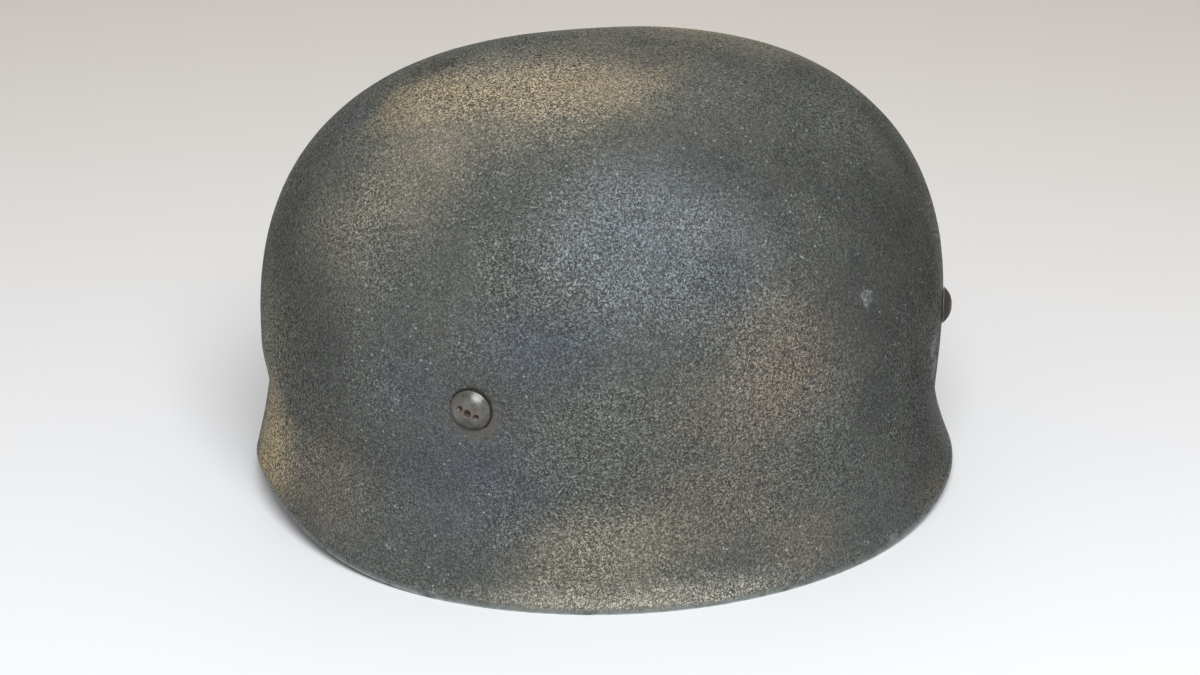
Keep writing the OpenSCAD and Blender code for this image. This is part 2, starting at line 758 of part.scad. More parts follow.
module right_chin_strap() {
    color("#5e4026") mirror([0, 1, 0]) on_chin() difference() {
        union() {
            chin_sleeve(upper_bar[1], sleeve_r);
            chin_sleeve(buckle_z, sleeve_r);
            translate([-strap_w / 2, chin_out, buckle_z]) cube([strap_w, chin_t, buckle_half_length]);
        }
        bar_hole(upper_bar[1], upper_bar[0]);
        bar_hole(buckle_z, upper_bar[0]);
        translate([-prong_w / 2 - prong_gap, chin_out - over, buckle_z - sleeve_r - over])
            cube([prong_w + 2 * prong_gap, 2 * (sleeve_r + over), 2 * sleeve_r + over + prong_slot]);
    }
}

// Leather keeper that slides along the buckle half
keeper_drop = 36;
keeper_h = 8;
keeper_t = 1.5;
module strap_keeper() {
    color("#674828") mirror([0, 1, 0]) on_chin()
        translate([0, chin_out + chin_t / 2, upper_bar[1] - keeper_drop]) difference() {
            cube([strap_w + 2 * (slip + keeper_t), chin_t + 2 * (slip + keeper_t), keeper_h], center = true);
            cube([strap_w + 2 * slip, chin_t + 2 * slip, keeper_h + 2 * over], center = true);
        }
}

module buckle_frame() {
    color("#6d6a63") mirror([0, 1, 0]) on_chin()
        wire_loop([upper_bar[0], buckle_z], [upper_bar[0], buckle_z - buckle_h], buckle_w);
}

module buckle_prong() {
    tip = buckle_h + wire_d / 2 + prong_past;
    lay = upper_bar[0] - wire_d / 2 - seam;
    color("#77756f") mirror([0, 1, 0]) on_chin() difference() {
        union() {
            translate([-prong_w / 2, upper_bar[0], buckle_z]) rotate([0, 90, 0])
                cylinder(r = prong_sleeve_r, h = prong_w, $fn = 32);
            translate([-prong_tip_w / 2, lay - prong_t, buckle_z - tip]) cube([prong_tip_w, prong_t, tip]);
        }
        bar_hole(buckle_z, upper_bar[0]);
    }
}

steel_shell();
front_left_bolt();
front_right_bolt();
rear_left_bolt();
rear_right_bolt();
front_left_nut();
front_right_nut();
rear_left_nut();
rear_right_nut();
bolt_washers();
spacer_bushes();
liner_band();
band_joint_plate();
band_joint_rivets();
front_pad();
rear_pad();
left_pad();
right_pad();
foam_headband();
crown_pad();
leather_liner();
liner_rivets();
front_left_strap_end();
front_right_strap_end();
rear_left_strap_end();
rear_right_strap_end();
strap_eyelets();
left_front_strap();
left_rear_strap();
left_junction_patch();
left_junction_loop();
left_junction_rivets();
left_adjuster();
right_front_strap();
right_rear_strap();
right_junction_patch();
right_junction_loop();
right_junction_rivets();
right_adjuster();
left_chin_strap();
left_chin_stud();
right_chin_strap();
strap_keeper();
buckle_frame();
buckle_prong();
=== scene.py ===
"""Rimless paratrooper helmet: looks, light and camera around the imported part.

+X points to the front of the helmet, +Y to the wearer's left, +Z up. Sizes are in millimetres, and
MM turns them into metres where a mesh is made.
"""

import math

import bmesh
import bpy
from mathutils import Matrix, Vector, noise


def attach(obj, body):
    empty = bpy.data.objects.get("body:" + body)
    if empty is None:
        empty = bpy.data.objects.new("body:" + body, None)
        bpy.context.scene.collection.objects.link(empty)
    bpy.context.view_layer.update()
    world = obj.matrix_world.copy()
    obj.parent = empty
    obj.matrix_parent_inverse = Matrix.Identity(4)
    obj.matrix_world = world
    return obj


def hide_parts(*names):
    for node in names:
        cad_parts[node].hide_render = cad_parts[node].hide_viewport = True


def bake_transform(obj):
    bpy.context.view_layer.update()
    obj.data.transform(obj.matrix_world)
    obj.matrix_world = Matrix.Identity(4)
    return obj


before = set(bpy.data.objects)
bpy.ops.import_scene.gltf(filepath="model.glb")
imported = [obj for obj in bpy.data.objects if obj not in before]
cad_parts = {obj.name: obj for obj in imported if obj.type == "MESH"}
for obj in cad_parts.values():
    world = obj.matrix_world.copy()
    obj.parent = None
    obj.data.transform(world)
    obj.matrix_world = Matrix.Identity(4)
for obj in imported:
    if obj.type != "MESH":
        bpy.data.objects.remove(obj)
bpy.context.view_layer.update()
MM = 0.001

# Sizes of the steel shell

SHELL = {
    "Height": 161.5, "Front reach": 127, "Rear reach": 128, "Half width": 112.5, "Wall": 1.2,
    "Widest height": 56, "Waist": 34, "Front waist": 38.5, "Front pinch": 2.2, "Rear pinch": 0.5,
    "Side flare": 8.3, "Front flare": 5.5, "Rear flare": 9.8, "Front lift": 9.8, "Rear lift": 5,
}
DOME_POWERS = (2.1, 2.56, 2.58)
FLARE_POWER = 1.4
FLARE_POWER_FRONT = 1.2
BRIM_SPREAD = 9.5
REAR_LIFT_START = 0.35
POLE_POWER = 0.87
CENTRE_X = (SHELL["Rear reach"] + SHELL["Rear flare"] - SHELL["Rear pinch"]
            - SHELL["Front reach"] - SHELL["Front flare"] + SHELL["Front pinch"]) / 2

# Bolts: their places, and sizes below and above the outside of the shell

BOLT_Z = 67.5
BOLT_ANGLES = {"front_left": 51, "front_right": -51, "rear_left": 152, "rear_right": -152}
PIT_TURNS = {"front_left": -22, "front_right": -35, "rear_left": 60, "rear_right": -10}
HEAD_D = 13.6
HEAD_H = 3.2
HEAD_LIP = 0.4
RIM_R = HEAD_D / 2 - HEAD_LIP
HEAD_LOW = 0.3
DOME_RINGS = 65
SHANK_D = 7
SHANK_END = 17.7
THREAD_TOP = -8
THREAD_STEP = 0.5
THREAD_DEPTH = 0.28
THREAD_POINTS = 19
VENT_D = 2.2
PIT_D = 1.9
PIT_REACH = 2.9
PIT_EDGE = 0.3

# Liner: depths below the outside of the shell, and heights

FOLD_FACE = 10.7
BAND_DEPTH = 13
BAND_T = 1.5
BAND_Z = 52
BAND_H = 30
FOAM_FACE = 14.8
FOAM_T = 7.7
FOAM_LOW = 52.6
FOAM_HIGH = 79.8
LEATHER_FACE = 22.8
LEATHER_T = 2
HEAD_FACE = 24.8
LEATHER_Z = 49.7
FOLD_TOP = 58
CROWN_PAD_T = 9
CROWN_LOW = 9
CROWN_X = 102
CROWN_Y = 87.7
CROWN_POWER = 2.4
RIVET_Z = 54.7
RIVET_COUNT = 16
JOINT_FACE = 11.5
JOINT_ANGLES = (-71, -65)
JOINT_HEIGHTS = (65.5, 74.5)
NUT_POCKET_D = 17
VENT_HOLE = 3.8
VENT_RINGS = (6, 12, 18)
VENT_PITCH = 13
BAR_END = 2
BAR_REACH = 112

# Harness, as it lies on the left fold line: across is outwards from the plane of the forks

STRAP_W = 16
STRAP_T = 2.2
STRAP_DEPTH = 4.3
STITCH_INSET = 2.1
FOLD_Z = 44
FOLD_REACH = 6
FOLD_BEND = 1.6
LEG_START = 6
FORK_H = 60
ROOT_INSET = 9.4
ROOT_ANGLES = {"front": 56, "rear": 138}
JUNCTION_SHARE = 0.48
PATCH_IN = 1.2
PATCH_T = 1.6
PATCH_W = 24
LOWER_BAR = (-2.0, 64.5)
UPPER_BAR = (-6.0, 71.0)
SLEEVE_R = 2.7
SLEEVE_T = 1.6
TAB_T = 1.4
CHIN_T = 2
CHIN_LENGTH = 103
BUCKLE_LENGTH = 72
SLAB_CELL = 2.4


# Values that are plain numbers or fields of a node tree

class Field:
    """The output of a node. Arithmetic on it adds Math nodes."""

    def __init__(self, tree, socket):
        self.tree = tree
        self.socket = socket

    def out(self, key):
        """Another output of the same node, by its name or number."""
        return Field(self.tree, self.socket.node.outputs[key])

    def __add__(self, other):
        return op("ADD", self, other)

    def __radd__(self, other):
        return op("ADD", other, self)

    def __sub__(self, other):
        return op("SUBTRACT", self, other)

    def __rsub__(self, other):
        return op("SUBTRACT", other, self)

    def __mul__(self, other):
        return op("MULTIPLY", self, other)

    def __rmul__(self, other):
        return op("MULTIPLY", other, self)

    def __truediv__(self, other):
        return op("DIVIDE", self, other)

    def __rtruediv__(self, other):
        return op("DIVIDE", other, self)


PLAIN = {
    "ADD": lambda a, b: a + b, "SUBTRACT": lambda a, b: a - b, "MULTIPLY": lambda a, b: a * b,
    "DIVIDE": lambda a, b: a / b, "POWER": lambda a, b: a ** b, "SQRT": math.sqrt,
    "SINE": math.sin, "COSINE": math.cos, "MAXIMUM": max, "MINIMUM": min,
    "GREATER_THAN": lambda a, b: float(a > b),
}


def put(socket, value):
    """Links a field to a socket, or sets a plain value on it."""
    if isinstance(value, Field):
        value.tree.links.new(value.socket, socket)
    else:
        socket.default_value = value


def add(tree, kind, inputs=(), **settings):
    """Adds a node and returns its first output. inputs is a dict of socket name or number to a value
    or field."""
    made = tree.nodes.new(kind)
    for name, value in settings.items():
        setattr(made, name, value)
    for key, value in dict(inputs).items():
        put(made.inputs[key], value)
    return Field(tree, made.outputs[0])


def op(name, *values):
    """A Math node if any of the values is a field, or else the plain result."""
    tree = next((v.tree for v in values if isinstance(v, Field)), None)
    if tree is None:
        return PLAIN[name](*values)
    return add(tree, "ShaderNodeMath", dict(enumerate(values)), operation=name)


def clamp(x):
    return op("MAXIMUM", 0, op("MINIMUM", 1, x))


def smooth(x):
    return x * x * (3 - 2 * x)


def choose(c, above, below):
    """above where c is over 0, below elsewhere."""
    return below + (above - below) * op("GREATER_THAN", c, 0)


def ease(low, high, x):
    """0 below low, 1 above high, smooth between them."""
    return smooth(clamp((x - low) / (high - low)))


# The shell's surface, as the construction works it out

def along(c, side, front, rear):
    return side + choose(c, front - side, rear - side) * c * c


def brim(c, side, front, rear, power):
    forward = (front - side) * op("POWER", op("MAXIMUM", c, 0), power)
    return side + choose(c, forward, (rear - side) * c * c)


def rim_height(c, s):
    rise = op("POWER", op("MAXIMUM", c, 0), BRIM_SPREAD)
    return choose(c, s["Front lift"] * rise, s["Rear lift"] * ease(REAR_LIFT_START, 1, 0 - c))


def wall_point(v, z, depth, s=SHELL):
    """Point at plan angle v and height z, a depth inside the shell's outer face."""
    c = op("COSINE", v)
    y = op("SINE", v)
    px = (choose(c, s["Front reach"], s["Rear reach"]) - depth) * c
    py = (s["Half width"] - depth) * y
    r = op("SQRT", px * px + py * py)
    n = along(c, *DOME_POWERS)
    widest = s["Widest height"]
    t = clamp((z - widest) / (s["Height"] - depth - widest))
    rho = op("POWER", op("MAXIMUM", 1 - op("POWER", t, n), 0), 1 / n)
    waist = brim(c, s["Waist"], s["Front waist"], s["Waist"], 2)
    pinch = along(c, 0, s["Front pinch"], s["Rear pinch"]) * ease(0, 1, (widest - z) / (widest - waist))
    drop = clamp((waist - z) / (waist - rim_height(c, s)))
    power = brim(c, FLARE_POWER, FLARE_POWER_FRONT, FLARE_POWER, 2)
    flare = brim(c, s["Side flare"], s["Front flare"], s["Rear flare"], BRIM_SPREAD)
    off = flare * op("POWER", drop, power) - pinch
    return (CENTRE_X + px * rho + px / r * off, py * rho + py / r * off, z)


def wall(degrees, z, depth=0):
    return Vector(wall_point(math.radians(degrees), z, depth))


def facing(degrees):
    """Direction in plan in which the shell's face points, in radians."""
    v = math.radians(degrees)
    reach = SHELL["Front reach"] if math.cos(v) > 0 else SHELL["Rear reach"]
    return math.atan2(math.sin(v) / SHELL["Half width"], math.cos(v) / reach)


def outward(degrees):
    return Vector((math.cos(facing(degrees)), math.sin(facing(degrees)), 0))


def bolt_frame(degrees):
    """Matrix whose +Z is the bolt's axis, pointing out, and whose +X points down."""
    fall = wall(degrees, BOLT_Z - HEAD_D / 2) - wall(degrees, BOLT_Z + HEAD_D / 2)
    lean = math.atan2(fall.dot(outward(degrees)), HEAD_D)
    turn = Matrix.Rotation(facing(degrees), 4, "Z") @ Matrix.Rotation(math.pi / 2 - lean, 4, "Y")
    return Matrix.Translation(wall(degrees, BOLT_Z)) @ turn


def dome_z(share, depth):
    """Height of a ring of the dome, from the widest height at share 0 to the pole at share 1."""
    widest = SHELL["Widest height"]
    return widest + (SHELL["Height"] - depth - widest) * math.sin(math.pi / 2 * share) ** POLE_POWER


# Node trees

FLOAT = "NodeSocketFloat"
INTEGER = "NodeSocketInt"
VECTOR = "NodeSocketVector"
OBJECT = "NodeSocketObject"
MATERIAL = "NodeSocketMaterial"
GEOMETRY = "NodeSocketGeometry"


def node_group(name, kind, inputs, outputs):
    """A node group. inputs is a list of (name, socket type, default), outputs one of (name, type)."""
    tree = bpy.data.node_groups.new(name, kind)
    for label, socket_type, default in inputs:
        socket = tree.interface.new_socket(label, in_out="INPUT", socket_type=socket_type)
        if default is not None:
            socket.default_value = default
    for label, socket_type in outputs:
        tree.interface.new_socket(label, in_out="OUTPUT", socket_type=socket_type)
    entry = tree.nodes.new("NodeGroupInput")
    out = tree.nodes.new("NodeGroupOutput").inputs
    given = {socket.name: Field(tree, socket) for socket in entry.outputs if socket.name}
    return tree, given, out


def geometry_group(name, inputs):
    return node_group(name, "GeometryNodeTree", [("Geometry", GEOMETRY, None)] + inputs,
                      [("Geometry", GEOMETRY)])


def end_tree(tree, out, geometry, finish):
    """Every tree ends in Realize Instances and Set Material."""
    realized = add(tree, "GeometryNodeRealizeInstances", {"Geometry": geometry})
    put(out["Geometry"], add(tree, "GeometryNodeSetMaterial", {"Geometry": realized, "Material": finish}))
    return tree


def new_object(name, data):
    obj = bpy.data.objects.new(name, data)
    bpy.context.scene.collection.objects.link(obj)
    return obj


def settled(obj):
    """Applies an object's modifiers, so that its mesh is final."""
    depsgraph = bpy.context.evaluated_depsgraph_get()
    result = bpy.data.meshes.new_from_object(obj.evaluated_get(depsgraph))
    obj.modifiers.clear()
    obj.data = result
    return obj


def run_tree(obj, tree, values):
    """Runs a tree on an object, which keeps the result as a plain mesh. The modifier goes."""
    modifier = obj.modifiers.new(tree.name, "NODES")
    modifier.node_group = tree
    for item in tree.interface.items_tree:
        if item.in_out == "INPUT" and item.name in values:
            modifier[item.identifier] = values[item.name]
    return settled(obj)


def points_object(name, places):
    """Loose points, each with the way it faces. places is a list of (place in mm, way)."""
    mesh = bpy.data.meshes.new(name)
    mesh.from_pydata([Vector(place) * MM for place, way in places], [], [])
    way_layer = mesh.attributes.new("way", "FLOAT_VECTOR", "POINT")
    for item, (place, way) in zip(way_layer.data, places):
        item.vector = way
    return new_object(name, mesh)


def drop(obj):
    bpy.data.objects.remove(obj, do_unlink=True)


# Meshes

def build(name, points, faces, finish, mirrored=False, edge=None):
    """An object from points in mm. mirrored makes the right-hand copy of a left-hand piece."""
    mesh = bpy.data.meshes.new(name)
    side = -1 if mirrored else 1
    order = [tuple(reversed(f)) for f in faces] if mirrored else faces
    mesh.from_pydata([(p[0] * MM, side * p[1] * MM, p[2] * MM) for p in points], [], order)
    mesh.materials.append(finish)
    mesh.shade_smooth()
    if edge is not None:
        mesh.attributes.new("edge", "FLOAT", "POINT").data.foreach_set("value", edge)
    return new_object(name, mesh)


def ring_faces(rings, count, closed_path=False):
    """Faces between rings of points that run clockwise seen from the next ring."""
    faces = []
    for j in range(rings if closed_path else rings - 1):
        a = j * count
        b = (j + 1) % rings * count
        faces += [(a + i, b + i, b + (i + 1) % count, a + (i + 1) % count) for i in range(count)]
    return faces


def end_caps(rings, count):
    return [tuple(range(count)), tuple(reversed(range((rings - 1) * count, rings * count)))]


def lathe(profile, steps):
    """Closed points and faces from a profile of (radius, height) that starts and ends on the axis."""
    points = [(0, 0, profile[0][1])]
    for radius, height in profile[1:-1]:
        angles = [2 * math.pi * i / steps for i in range(steps)]
        points += [(radius * math.cos(a), radius * math.sin(a), height) for a in angles]
    points.append((0, 0, profile[-1][1]))
    rings = len(profile) - 2
    faces = [tuple(1 + i for i in f) for f in ring_faces(rings, steps)]
    last = 1 + (rings - 1) * steps
    faces += [(0, 1 + i, 1 + (i + 1) % steps) for i in range(steps)]
    faces += [(last + (i + 1) % steps, last + i, len(points) - 1) for i in range(steps)]
    return points, [tuple(reversed(f)) for f in faces]


def arc(centre, radius, start, end, steps):
    """Points of an arc in a plane, from one angle to another, in degrees."""
    angles = [math.radians(start + (end - start) * k / steps) for k in range(steps + 1)]
    return [(centre[0] + radius * math.cos(a), centre[1] + radius * math.sin(a)) for a in angles]


def grain(p, size, seed=0):
    """Smooth noise from -1 to 1 with bumps about size mm wide."""
    return noise.noise(Vector((p[0] + seed * 37.1, p[1] - seed * 11.3, p[2])) / size)


def rounded_copy(node, width, finish, wobble=0):
    """A copy of a CAD node with its edges rounded, in the node's place."""
    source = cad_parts[node]
    bm = bmesh.new()
    bm.from_mesh(source.data)
    bmesh.ops.transform(bm, matrix=source.matrix_world, verts=bm.verts)
    bmesh.ops.remove_doubles(bm, verts=bm.verts, dist=2e-6)
    bmesh.ops.dissolve_limit(bm, angle_limit=math.radians(2), verts=bm.verts, edges=bm.edges)
    mesh = bpy.data.meshes.new(node + "_piece")
    bm.to_mesh(mesh)
    bm.free()
    mesh.materials.append(finish)
    mesh.shade_smooth()
    obj = new_object(mesh.name, mesh)
    bevel = obj.modifiers.new("edges", "BEVEL")
    bevel.width = width * MM
    bevel.segments = 3
    bevel.limit_method = "ANGLE"
    bevel.angle_limit = math.radians(40)
    bevel.harden_normals = True
    settled(obj)
    if wobble:
        for vertex in obj.data.vertices:
            at = vertex.co / MM
            vertex.co += Vector((grain(at, 5), grain(at, 5, 1), grain(at, 5, 2))) * wobble * MM
    return obj


def join(name, objects):
    """Joins finished pieces of one body into one object."""
    bm = bmesh.new()
    finishes = []
    for obj in objects:
        start = len(bm.faces)
        bm.from_mesh(obj.data)
        bm.faces.ensure_lookup_table()
        shift = {}
        for index, finish in enumerate(obj.data.materials):
            if finish not in finishes:
                finishes.append(finish)
            shift[index] = finishes.index(finish)
        for face in bm.faces[start:]:
            face.material_index = shift.get(face.material_index, 0)
        drop(obj)
    mesh = bpy.data.meshes.new(name)
    bm.to_mesh(mesh)
    bm.free()
    for finish in finishes:
        mesh.materials.append(finish)
    return new_object(name, mesh)


def settle(obj, body, slot, *nodes, pad=None):
    """Says what a finished piece rides on and which nodes it stands for; the finish given in slot is not
    used.
    """
    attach(obj, body)
    if nodes:
        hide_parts(*nodes)
    return obj


# Shader groups

def shader_group(name, inputs, outputs):
    """A shader group whose outputs are all numbers."""
    return node_group(name, "ShaderNodeTree", inputs, [(label, FLOAT) for label in outputs])


def use(tree, group, **inputs):
    """Places a group and returns its first output. Input names have underscores in place of spaces."""
    named = {key.replace("_", " "): value for key, value in inputs.items()}
    return add(tree, "ShaderNodeGroup", named, node_tree=group)


def noise_field(tree, vector, scale, detail, rough=0.5, distortion=0):
    return add(tree, "ShaderNodeTexNoise", {"Vector": vector, "Scale": scale, "Detail": detail,
                                            "Roughness": rough, "Distortion": distortion})


def cells(tree, vector, scale, feature="F1"):
    return add(tree, "ShaderNodeTexVoronoi", {"Vector": vector, "Scale": scale}, feature=feature)


def mix(tree, share, first, second, blend="MIX"):
    inputs = {0: share, 6: first, 7: second}
    return add(tree, "ShaderNodeMix", inputs, data_type="RGBA", blend_type=blend).out(2)


def colour(r, g, b):
    return (r, g, b, 1)


def metres(p):
    return [x * MM for x in p]


def vector_op(tree, name, first, second, output=0):
    return add(tree, "ShaderNodeVectorMath", {0: first, 1: second}, operation=name).out(output)


def distance(tree, first, second):
    return vector_op(tree, "DISTANCE", first, second, output=1)


def attribute(tree, name):
    """An attribute of the piece's own points."""
    return add(tree, "ShaderNodeAttribute", attribute_name=name).out("Fac")


def spray_group():
    """Mask of a soft sprayed patch: an ellipsoid round a centre, with an edge as ragged as the input."""
    tree, given, out = shader_group(
        "Sprayed patch", [("Vector", VECTOR, None), ("Centre", VECTOR, None), ("Size", VECTOR, None),
                          ("Ragged", FLOAT, 0)], ["Mask"])
    from_centre = vector_op(tree, "SUBTRACT", given["Vector"], given["Centre"])
    local = vector_op(tree, "DIVIDE", from_centre, given["Size"])
    radius = vector_op(tree, "LENGTH", local, (0, 0, 0), output=1)
    put(out["Mask"], 1 - ease(0.2, 1.25, radius + given["Ragged"]))
    return tree


def sand_group():
    """Rough sand-like grain: a height for bump, pale specks that are partly sand in the paint and partly
    painted glints, and painted shade in the dips between them.
    """
    tree, given, out = shader_group(
        "Sand grain", [("Vector", VECTOR, None), ("Grain size", FLOAT, 0.78)],
        ["Height", "Grains", "Hollows"])
    vector = given["Vector"]
    scale = 1 / MM / given["Grain size"]
    ridges = noise_field(tree, vector, scale, 2, 0.6, 0.7)
    fine = noise_field(tree, vector, scale * 2.4, 1)
    clump = noise_field(tree, vector, scale * 0.25, 2)
    mixed = ridges * 0.7 + fine * 0.3
    dots = 1 - ease(0.14, 0.38, cells(tree, vector, scale * 1.1))
    # Small pale dots that stand for painted glints on the sand; they also raise the bump
    lit = dots * ease(0.42, 0.58, noise_field(tree, vector, scale * 0.85, 2, 0.6))
    put(out["Height"], ridges * 0.75 + fine * 0.2 + clump * 0.7 + lit * 0.16)
    put(out["Grains"], op("MAXIMUM", lit, ease(0.54, 0.61, mixed) * 0.5))
    put(out["Hollows"], 1 - ease(0.42, 0.53, mixed + lit * 0.2))
    return tree


def wear_group():
    """Mask of worn edges and corners, broken up by noise."""
    tree, given, out = shader_group("Edge wear", [("Vector", VECTOR, None)], ["Mask"])
    point = add(tree, "ShaderNodeNewGeometry").out("Pointiness")
    broken = noise_field(tree, given["Vector"], 500, 4, 0.65)
    put(out["Mask"], clamp((point - 0.5) * 20 * ease(0.3, 0.7, broken)))
    return tree


def dust_group():
    """Pale dust in patches, more of it on faces that look up."""
    tree, given, out = shader_group("Dust", [("Vector", VECTOR, None), ("Amount", FLOAT, 0.3)], ["Mask"])
    normal = add(tree, "ShaderNodeNewGeometry").out("Normal")
    up = clamp(add(tree, "ShaderNodeSeparateXYZ", {0: normal}).out(2) * 0.6 + 0.4)
    patches = noise_field(tree, given["Vector"], 55, 5, 0.62)
    fine = noise_field(tree, given["Vector"], 900, 2, 0.6)
    put(out["Mask"], clamp(given["Amount"] * up * ease(0.35, 0.7, patches) * (0.5 + fine)))
    return tree


def leather_group():
    """Leather: pebbled cells with creases between them, pores, and clouds of tone."""
    tree, given, out = shader_group(
        "Leather grain", [("Vector", VECTOR, None), ("Cell size", FLOAT, 0.9)],
        ["Height", "Creases", "Tone"])
    vector = given["Vector"]
    scale = 1 / MM / given["Cell size"]
    bend = noise_field(tree, vector, 260, 2).out("Color")
    bent = vector_op(tree, "ADD", vector, vector_op(tree, "MULTIPLY", bend, (0.0011, 0.0011, 0.0011)))
    crease = 1 - ease(0.0, 0.16, cells(tree, bent, scale, "DISTANCE_TO_EDGE"))
    long_crease = 1 - ease(0.0, 0.035, cells(tree, bent, scale * 0.12, "DISTANCE_TO_EDGE"))
    pores = ease(0.62, 0.75, noise_field(tree, vector, scale * 2.2, 1))
    tone = noise_field(tree, vector, 42, 5, 0.6)
    broken = long_crease * ease(0.45, 0.6, tone)
    put(out["Height"], 1 - crease * 0.45 - broken * 0.8 - pores * 0.25 + tone * 0.4)
    put(out["Creases"], clamp(crease * 0.5 + broken + pores * 0.35))
    put(out["Tone"], tone)
    return tree


SPRAY = spray_group()
SAND = sand_group()
WEAR = wear_group()
DUST = dust_group()
LEATHER = leather_group()


# Materials

def material(name, paint, metallic=0, specular=0.5, coat_rough=0.3):
    """A material. paint(tree, vector) returns a dict with its colour, rough and bumps, and with metallic,
    specular and coat where they vary. A bump is (height field, depth in mm)."""
    made = bpy.data.materials.new(name)
    made.use_nodes = True
    tree = made.node_tree
    surface = tree.nodes["Principled BSDF"].inputs
    vector = add(tree, "ShaderNodeTexCoord").out("Object")
    looks = {"metallic": metallic, "specular": specular, "coat": 0, **paint(tree, vector)}
    put(surface["Base Color"], looks["colour"])
    put(surface["Roughness"], looks["rough"])
    put(surface["Metallic"], looks["metallic"])
    put(surface["Specular IOR Level"], looks["specular"])
    put(surface["Coat Weight"], looks["coat"])
    surface["Coat Roughness"].default_value = coat_rough
    below = {}
    for height, depth in looks["bumps"]:
        inputs = {"Height": height, "Distance": depth * MM, "Strength": 1, **below}
        bump = add(tree, "ShaderNodeBump", inputs)
        below = {"Normal": bump}
    put(surface["Normal"], bump)
    return made


def dusted(tree, vector, amount, base, tint):
    return mix(tree, use(tree, DUST, Vector=vector, Amount=amount), base, tint)


def sprayed(tree, vector, centre, size, ragged):
    """Mask of a soft patch whose centre and size are in mm: sprayed paint, small marks and the painted
    sheen.
    """
    return use(tree, SPRAY, Vector=vector, Centre=metres(centre), Size=metres(size), Ragged=ragged)


# Sprayed patches of the camouflage, with a painted sheen and painted shade among them: centre and size in
# mm, tint and strength. The shell's other side has the same patches, turned half round.
OCHRE = colour(0.310, 0.236, 0.136)
TAN = colour(0.250, 0.208, 0.142)
PALE_TAN = colour(0.275, 0.250, 0.200)
BROWN = colour(0.140, 0.103, 0.070)
SLATE = colour(0.048, 0.057, 0.069)
PAINTED_SHEEN_GREY = colour(0.132, 0.148, 0.164)
DARK_GREEN = colour(0.019, 0.022, 0.017)
PATCHES = [
    ((50, 24, 151), (84, 42, 22), TAN, 0.55),
    ((73, 13, 150), (30, 22, 14), OCHRE, 0.6),
    ((50, 25, 155), (32, 18, 14), OCHRE, 0.55),
    ((24, 37, 156), (34, 18, 14), OCHRE, 0.55),
    ((92, 42, 131), (26, 26, 24), TAN, 0.38),
    ((111, 38, 112), (16, 28, 26), TAN, 0.3),
    ((-24, 107, 82), (30, 24, 26), BROWN, 0.6),
    ((-4, 111, 66), (36, 22, 18), BROWN, 0.45),
    ((6, 112, 35), (34, 22, 18), BROWN, 0.5),
    ((45, 110, 19), (34, 30, 20), TAN, 0.5),
    ((34, 112, 2), (62, 46, 9), PALE_TAN, 0.9),
    ((133, 2, 26), (15, 27, 30), OCHRE, 0.95),
    ((130, 6, 68), (10, 18, 34), TAN, 0.35),
    ((-98, 80, 5), (18, 16, 14), BROWN, 0.7),
    ((-25, 113, 16), (22, 14, 14), BROWN, 0.45),
    # Painted sheen: a pale blue-grey patch where the window light's reflection falls, not sprayed paint
    ((24, 88, 120), (46, 28, 34), PAINTED_SHEEN_GREY, 0.6),
    ((84, 86, 42), (34, 32, 26), SLATE, 0.8),
    ((99, 73, 72), (16, 16, 16), SLATE, 0.7),
    ((62, 93, 90), (30, 20, 16), SLATE, 0.8),
    ((94, -2, 141), (10, 10, 8), SLATE, 0.7),
    ((66, -10, 154), (16, 14, 8), DARK_GREEN, 0.6),
    ((1, 98, 110), (14, 12, 14), SLATE, 0.5),
    ((119, 43, 28), (18, 24, 24), BROWN, 0.45),
    # Dark green paint, deepened to a painted shade on the rear side, which turns away from the light
    ((-68, 82, 98), (54, 46, 64), DARK_GREEN, 1),
    ((-95, 72, 28), (34, 44, 36), DARK_GREEN, 0.75),
    ((122, 34, 84), (18, 38, 44), DARK_GREEN, 0.6),
    ((-28, 66, 139), (42, 32, 26), DARK_GREEN, 0.65),
]
PATCHES += [((-x, -y, z), size, tint, strength) for (x, y, z), size, tint, strength in PATCHES if y > 20]


def bolt_marks(tree, vector, wide, speckle):
    """Masks round the four bolts: the calm paint, the ring of grime and painted shade in the gap beside the
    head, and the rust stain.
    """
    clean = 0
    ring = 0
    stain = 0
    for degrees in BOLT_ANGLES.values():
        place = wall(degrees, BOLT_Z)
        dirt_and_shade = place + Vector((-0.35, 0, 0.3))
        away = distance(tree, vector, metres(dirt_and_shade)) / MM
        low = place + Vector((-1.6, 0, -1.4))
        ragged_away = distance(tree, vector, metres(low)) / MM + wide * 12 + speckle * 9
        clean = op("MAXIMUM", clean, 1 - ease(7, 10.5, ragged_away))
        ring = op("MAXIMUM", ring, 1 - ease(HEAD_D / 2 + 0.2, HEAD_D / 2 + 0.9, away + speckle * 1.6))
        stain = op("MAXIMUM", stain, 1 - ease(6.6, 9.6, ragged_away))
    return clean, ring, stain


